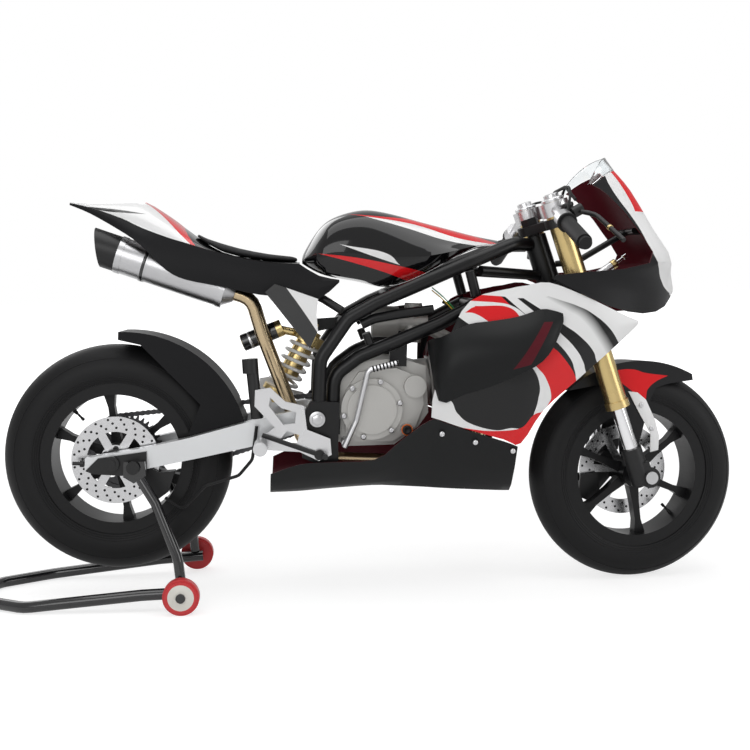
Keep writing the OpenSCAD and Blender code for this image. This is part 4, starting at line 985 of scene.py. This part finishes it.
@dataclass(frozen=True)
class Turning:
    """A round piece of trim: its steps as the function turned takes them, and a place for each copy."""

    name: str
    body: str
    slot: str
    finish: Finish
    steps: Sequence[Point]
    places: Sequence[Place]
    sides: int = 32
    edge: float = 0.0

    def build(self) -> None:
        """Turns the piece and copies it to its places."""
        copies = patterned(turned(self.steps, self.sides, self.edge), self.places)
        enlist(copies, self.name, self.body, self.finish)


@dataclass(frozen=True)
class Cord:
    """A wire or cable through spots on the bike or, if it steers, on the fork, in millimetres."""

    name: str
    body: str
    finish: Finish
    radius: float
    spots: tuple[Spot, ...]
    sides: int = 6

    def build(self) -> None:
        """Runs the cord."""
        on = LAY.on_fork if self.body == "steering" else LAY.on_bike
        run = piped([on(*spot) for spot in self.spots], self.radius, self.sides)
        enlist(run, self.name, self.body, self.finish)


def button(radius: float) -> list[Point]:
    """Steps of a button-head screw with a socket."""
    steps = ((1.0, 0.0), (1.0, 0.3), (0.86, 0.56), (0.56, 0.68), (0.5, 0.68), (0.46, 0.3))
    return [(radius * r, radius * h) for r, h in steps]


UP: Spot = (0.0, 0.0, 1.0)
TO_RIGHT: Spot = (0.0, -1.0, 0.0)
WHEELS = (
    Wheel("rear", LAY.bike_place, 0.0, 250.0, 56.0, 95.0, (-62.0, -58.0)),
    Wheel("front", LAY.fork_place, LAY.axle_ahead, 240.0, 50.0, 105.0, (44.0, 48.0)),
)
# Centre of the clutch cover, radius of its ring of bosses and Y of their faces
CLUTCH, BOSS_RING, BOSS_FACE = (550.0, 136.0), 62.0, -123.0
FILLER = LAY.bike_place((628, -115, 94), TO_RIGHT)
DAMPER = LAY.fork_place((66, -76, 452), (1, 0.08, 0.25))
RESERVOIR = LAY.bike_place((264, 0, 262), (86, 0, 38))
# The silencer's front end and lean, and how far along it the strap is
SILENCER_LEAN, STRAP_AT = math.radians(16.4), 175.3
SILENCER = LAY.bike_place((226, -58, 378), (-math.cos(SILENCER_LEAN), 0, math.sin(SILENCER_LEAN)))
# The foot end of the kick lever, as long as its axis, and the number of ribs on it
KICK, RIBS = LAY.bike_place((548, -148, 225), (50, -3, 15.5)), 8
# Outer face of a stand wheel's hub on the left, in metres
HUB_FACE: Spot = (-0.386, 0.208, 0.0385)

TURNINGS = (
    Turning("panel_screws", "chassis", "steel", BRIGHT_ALLOY, button(5.8),
            LAY.both_sides((697.8, 166.6, 93.6), (851.7, 165.6, 62.0), (770.0, 166.4, 78.0)), SCREW_SIDES),
    Turning("cover_screws", "chassis", "steel", STEEL, button(6.2),
            [LAY.bike_place((CLUTCH[0] + x, BOSS_FACE, CLUTCH[1] + z), TO_RIGHT)
             for x, z in spaced(SCREWS, BOSS_RING, start=15.0)], SCREW_SIDES),
    *(Turning(wheel.name + "_disc_screws", wheel.body, "steel", ALLOY_BLACK, button(6.0), wheel.screws(),
              SCREW_SIDES) for wheel in WHEELS),
    # Thin dark discs where each brake disc is drilled: the holes are real, their darkness is painted shade
    *(Turning(wheel.name + "_drillings", wheel.body, "steel", RIM_BLACK, ((2.8, 0.0), (2.8, 0.15)),
              wheel.drillings(), 12) for wheel in WHEELS),
    *(Turning(name + "_valve", name + "_wheel", "rubber", RUBBER,
              ((4.5, 0.0), (4.0, 8.0), (2.6, 10.0), (2.6, 22.0), (3.4, 23.0), (3.4, 30.0)), [place], 20)
      for name, place in (("front", LAY.fork_place((109.5, 0, -127), (-0.442, 0, 0.897))),
                          ("rear", LAY.bike_place((-102, 0, 98), (0.72, 0, -0.69))))),
    Turning("filler_seal", "chassis", "rubber", SEAL_ORANGE, ((12.5, 0.0), (12.5, 3.0)), [FILLER]),
    Turning("filler_cap", "chassis", "black_alloy", ALLOY_BLACK,
            ((10.4, 3.0), (10.4, 6.0), (9.1, 7.5), (5.2, 7.5), (4.94, 5.0)), [FILLER], 12, 0.4),
    *(Turning("fluid_cup_" + side.word, "steering", "black_alloy", ALLOY_BLACK,
              ((10.0, 0.0), (12.5, 4.0), (12.5, 24.0), (14.0, 25.0), (14.0, 31.0), (10.0, 33.0)),
              [LAY.fork_place((40, side.value * 150, 598), UP)], 32, 0.6) for side in Side),
    Turning("damper_body", "steering", "steel", BRIGHT_ALLOY,
            ((7.6, 0.0), (9.5, 3.0), (9.5, 60.0), (7.6, 62.0)), [DAMPER]),
    Turning("damper_cap", "steering", "gold_alloy", GOLD,
            ((10.26, 61.5), (10.26, 73.0), (5.7, 75.0)), [DAMPER], 32, 0.6),
    Turning("damper_rod", "steering", "steel", CHROME,
            ((3.5, 75.0), (3.5, 94.0), (6.0, 95.0), (6.0, 103.0)), [DAMPER], 20),
    Turning("fork_caps", "steering", "steel", BRIGHT_ALLOY,
            ((24.7, 0.0), (24.7, 6.5), (22.2, 8.5), (16.6, 9.0), (16.6, 16.5), (12.0, 18.0)),
            [LAY.fork_place((32, side.value * 95, 642.2), UP) for side in Side], 48, 0.6),
    Turning("lever_bands", "steering", "gold_alloy", GOLD, ((5.6, 0.0), (6.2, 0.8), (6.2, 6.0), (5.6, 6.8)),
            [LAY.fork_place((71.3, side.value * 260, 558.4), (0.014, side.value * 0.836, -0.549))
             for side in Side], 24),
    Turning("reservoir_sleeve", "chassis", "black_alloy", STAND_BLACK,
            ((17.0, -1.2), (19.4, 0.6), (19.4, 80.0), (17.0, 82.0)), [RESERVOIR], 40),
    Turning("reservoir_bands", "chassis", "steel", BRIGHT_ALLOY,
            ((19.7, 0.0), (20.0, 0.6), (20.0, 5.0), (19.7, 5.6)), shifted(RESERVOIR, 16.0, 58.0), 40),
    Turning("silencer_strap", "chassis", "black_alloy", STAND_BLACK,
            ((40.5, 0.0), (41.0, 0.6), (41.0, 6.4), (40.5, 7.0)), shifted(SILENCER, STRAP_AT), 64),
    Turning("kick_ribs", "chassis", "rubber", RUBBER, ((6.205, -1.8), (7.3, 0.0), (6.205, 1.8)),
            shifted(KICK, *(KICK[1].length * number / (RIBS - 1) for number in range(RIBS))), 24),
    *(Turning("stand_face_" + side.word, "stand_wheel_" + side.word[0], "body_white", HUB_WHITE,
              ((27.5, 0.0), (27.0, 0.24)),
              [((HUB_FACE[0], side.value * HUB_FACE[1], HUB_FACE[2]), (0, side.value, 0))], 48)
      for side in Side),
)
CORDS = (
    Cord("plug_lead", "chassis", RUBBER, 3.5,
         ((812, -30, 240), (822, -52, 268), (800, -62, 310), (752, -58, 352), (700, -50, 372))),
    Cord("wire_green", "chassis", SLEEVE_GREEN, 1.3,
         ((676, -52, 402), (694, -60, 388), (712, -62, 372), (734, -60, 350)), 4),
    Cord("wire_yellow", "chassis", SLEEVE_YELLOW, 1.3,
         ((676, -52, 396), (694, -60, 382), (712, -62, 366), (734, -60, 344)), 4),
    Cord("throttle_cable", "steering", RUBBER, 2.8,
         ((14, -186, 596), (44, -170, 640), (66, -120, 662), (74, -40, 640), (66, -4, 560))),
    Cord("clutch_cable", "steering", RUBBER, 2.8,
         ((14, 186, 596), (46, 166, 636), (70, 112, 650), (80, 40, 622), (74, 10, 548))),
)


@dataclass
class SeatPad:
    """Foam seat pad, grown from the plain solid into a soft slab."""

    cell: float = 0.004
    passes: int = 6

    def build(self) -> None:
        """Remeshes the solid and rounds it."""
        pad = bare_copy("seat_pad")
        modify(pad, "REMESH", mode="VOXEL", voxel_size=self.cell)
        modify(pad, "SMOOTH", factor=0.5, iterations=self.passes)
        smooth(pad, 180.0)
        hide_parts("seat_pad")
        enlist(pad, "seat_cushion", "chassis", FOAM)


@dataclass
class ShapedTrim:
    """Pivot bolts, sidewall beads and fender stays, in millimetres."""

    bolt_radius: float = 12.5
    bolt_height: float = 11.0
    pivot_end: Spot = (433.0, 139.6, 113.0)
    bead: float = 0.9
    bead_rings: tuple[float, ...] = (171.5, 176.0, 181.0, 221.0)
    stay_in: float = 60.2
    stay_thick: float = 2.5
    stay_edge: float = 0.5
    stay_outline: tuple[Point, ...] = ((78, 188), (88, 130), (98, 80), (84, 40), (104, 38), (116, 68),
                                       (118, 106), (112, 156), (98, 178))
    stay_holes: tuple[Point, ...] = ((97, 148), (104, 90))
    stay_screw: float = 5.8

    def pivot_bolts(self) -> None:
        """Hexagon heads on washers, on both ends of the swingarm pivot."""
        radius, height = self.bolt_radius, self.bolt_height
        rim, seat, edge = radius * 1.35, height * 0.22, radius * 0.06
        washer = turned(((rim, 0.0), (rim, seat)), 28, edge)
        head = turned(((radius, seat), (radius, height * 0.9), (radius * 0.82, height)), 6, edge)
        bolts = patterned(joined((washer, head)), LAY.both_sides(self.pivot_end))
        enlist(bolts, "pivot_bolts", "chassis", STEEL)

    def beads(self, wheel: Wheel) -> None:
        """Raised rings on both sidewalls of a tyre."""
        rings = []
        for radius in self.bead_rings:
            half = math.sqrt(wheel.crown ** 2 - (radius - wheel.tyre + wheel.crown) ** 2)
            for side in Side:
                rest_selection()
                bpy.ops.mesh.primitive_torus_add(major_radius=radius * MM, minor_radius=self.bead * MM,
                                                 major_segments=128, minor_segments=8)
                place = wheel.place((wheel.axle, side.value * half, 0), (0, 1, 0))
                rings.append(put(bpy.context.object, *place))
        enlist(smooth(joined(rings), 180.0), wheel.name + "_beads", wheel.body, TYRE)

    def stays(self) -> None:
        """White stays from the fender down to the fork feet, with two screws each."""
        outer = self.stay_in + self.stay_thick
        parts, places = [], []
        for side in Side:
            part = plate(self.stay_outline, self.stay_thick, self.stay_edge)
            part.matrix_world = LAY.fork_plane(outer if side is Side.LEFT else -self.stay_in)
            parts.append(apply_place(part))
            places += [LAY.fork_place((x, side.value * outer, z), (0, side.value, 0))
                       for x, z in self.stay_holes]
        enlist(joined(parts), "fender_stays", "steering", STAY_WHITE)
        Turning("stay_screws", "steering", "steel", BRIGHT_ALLOY, button(self.stay_screw), places,
                SCREW_SIDES).build()

    def build(self) -> None:
        """Makes all shaped trim."""
        self.pivot_bolts()
        for wheel in WHEELS:
            self.beads(wheel)
        self.stays()


def main() -> None:
    """Builds the studio and dresses the bike, part by part."""
    logging.basicConfig(level=logging.INFO, format="%(message)s")
    Studio().build()
    dress_solids()
    for part in (SeatPad(), ShapedTrim(), *TURNINGS, *CORDS):
        part.build()


if __name__ == "__main__":
    main()
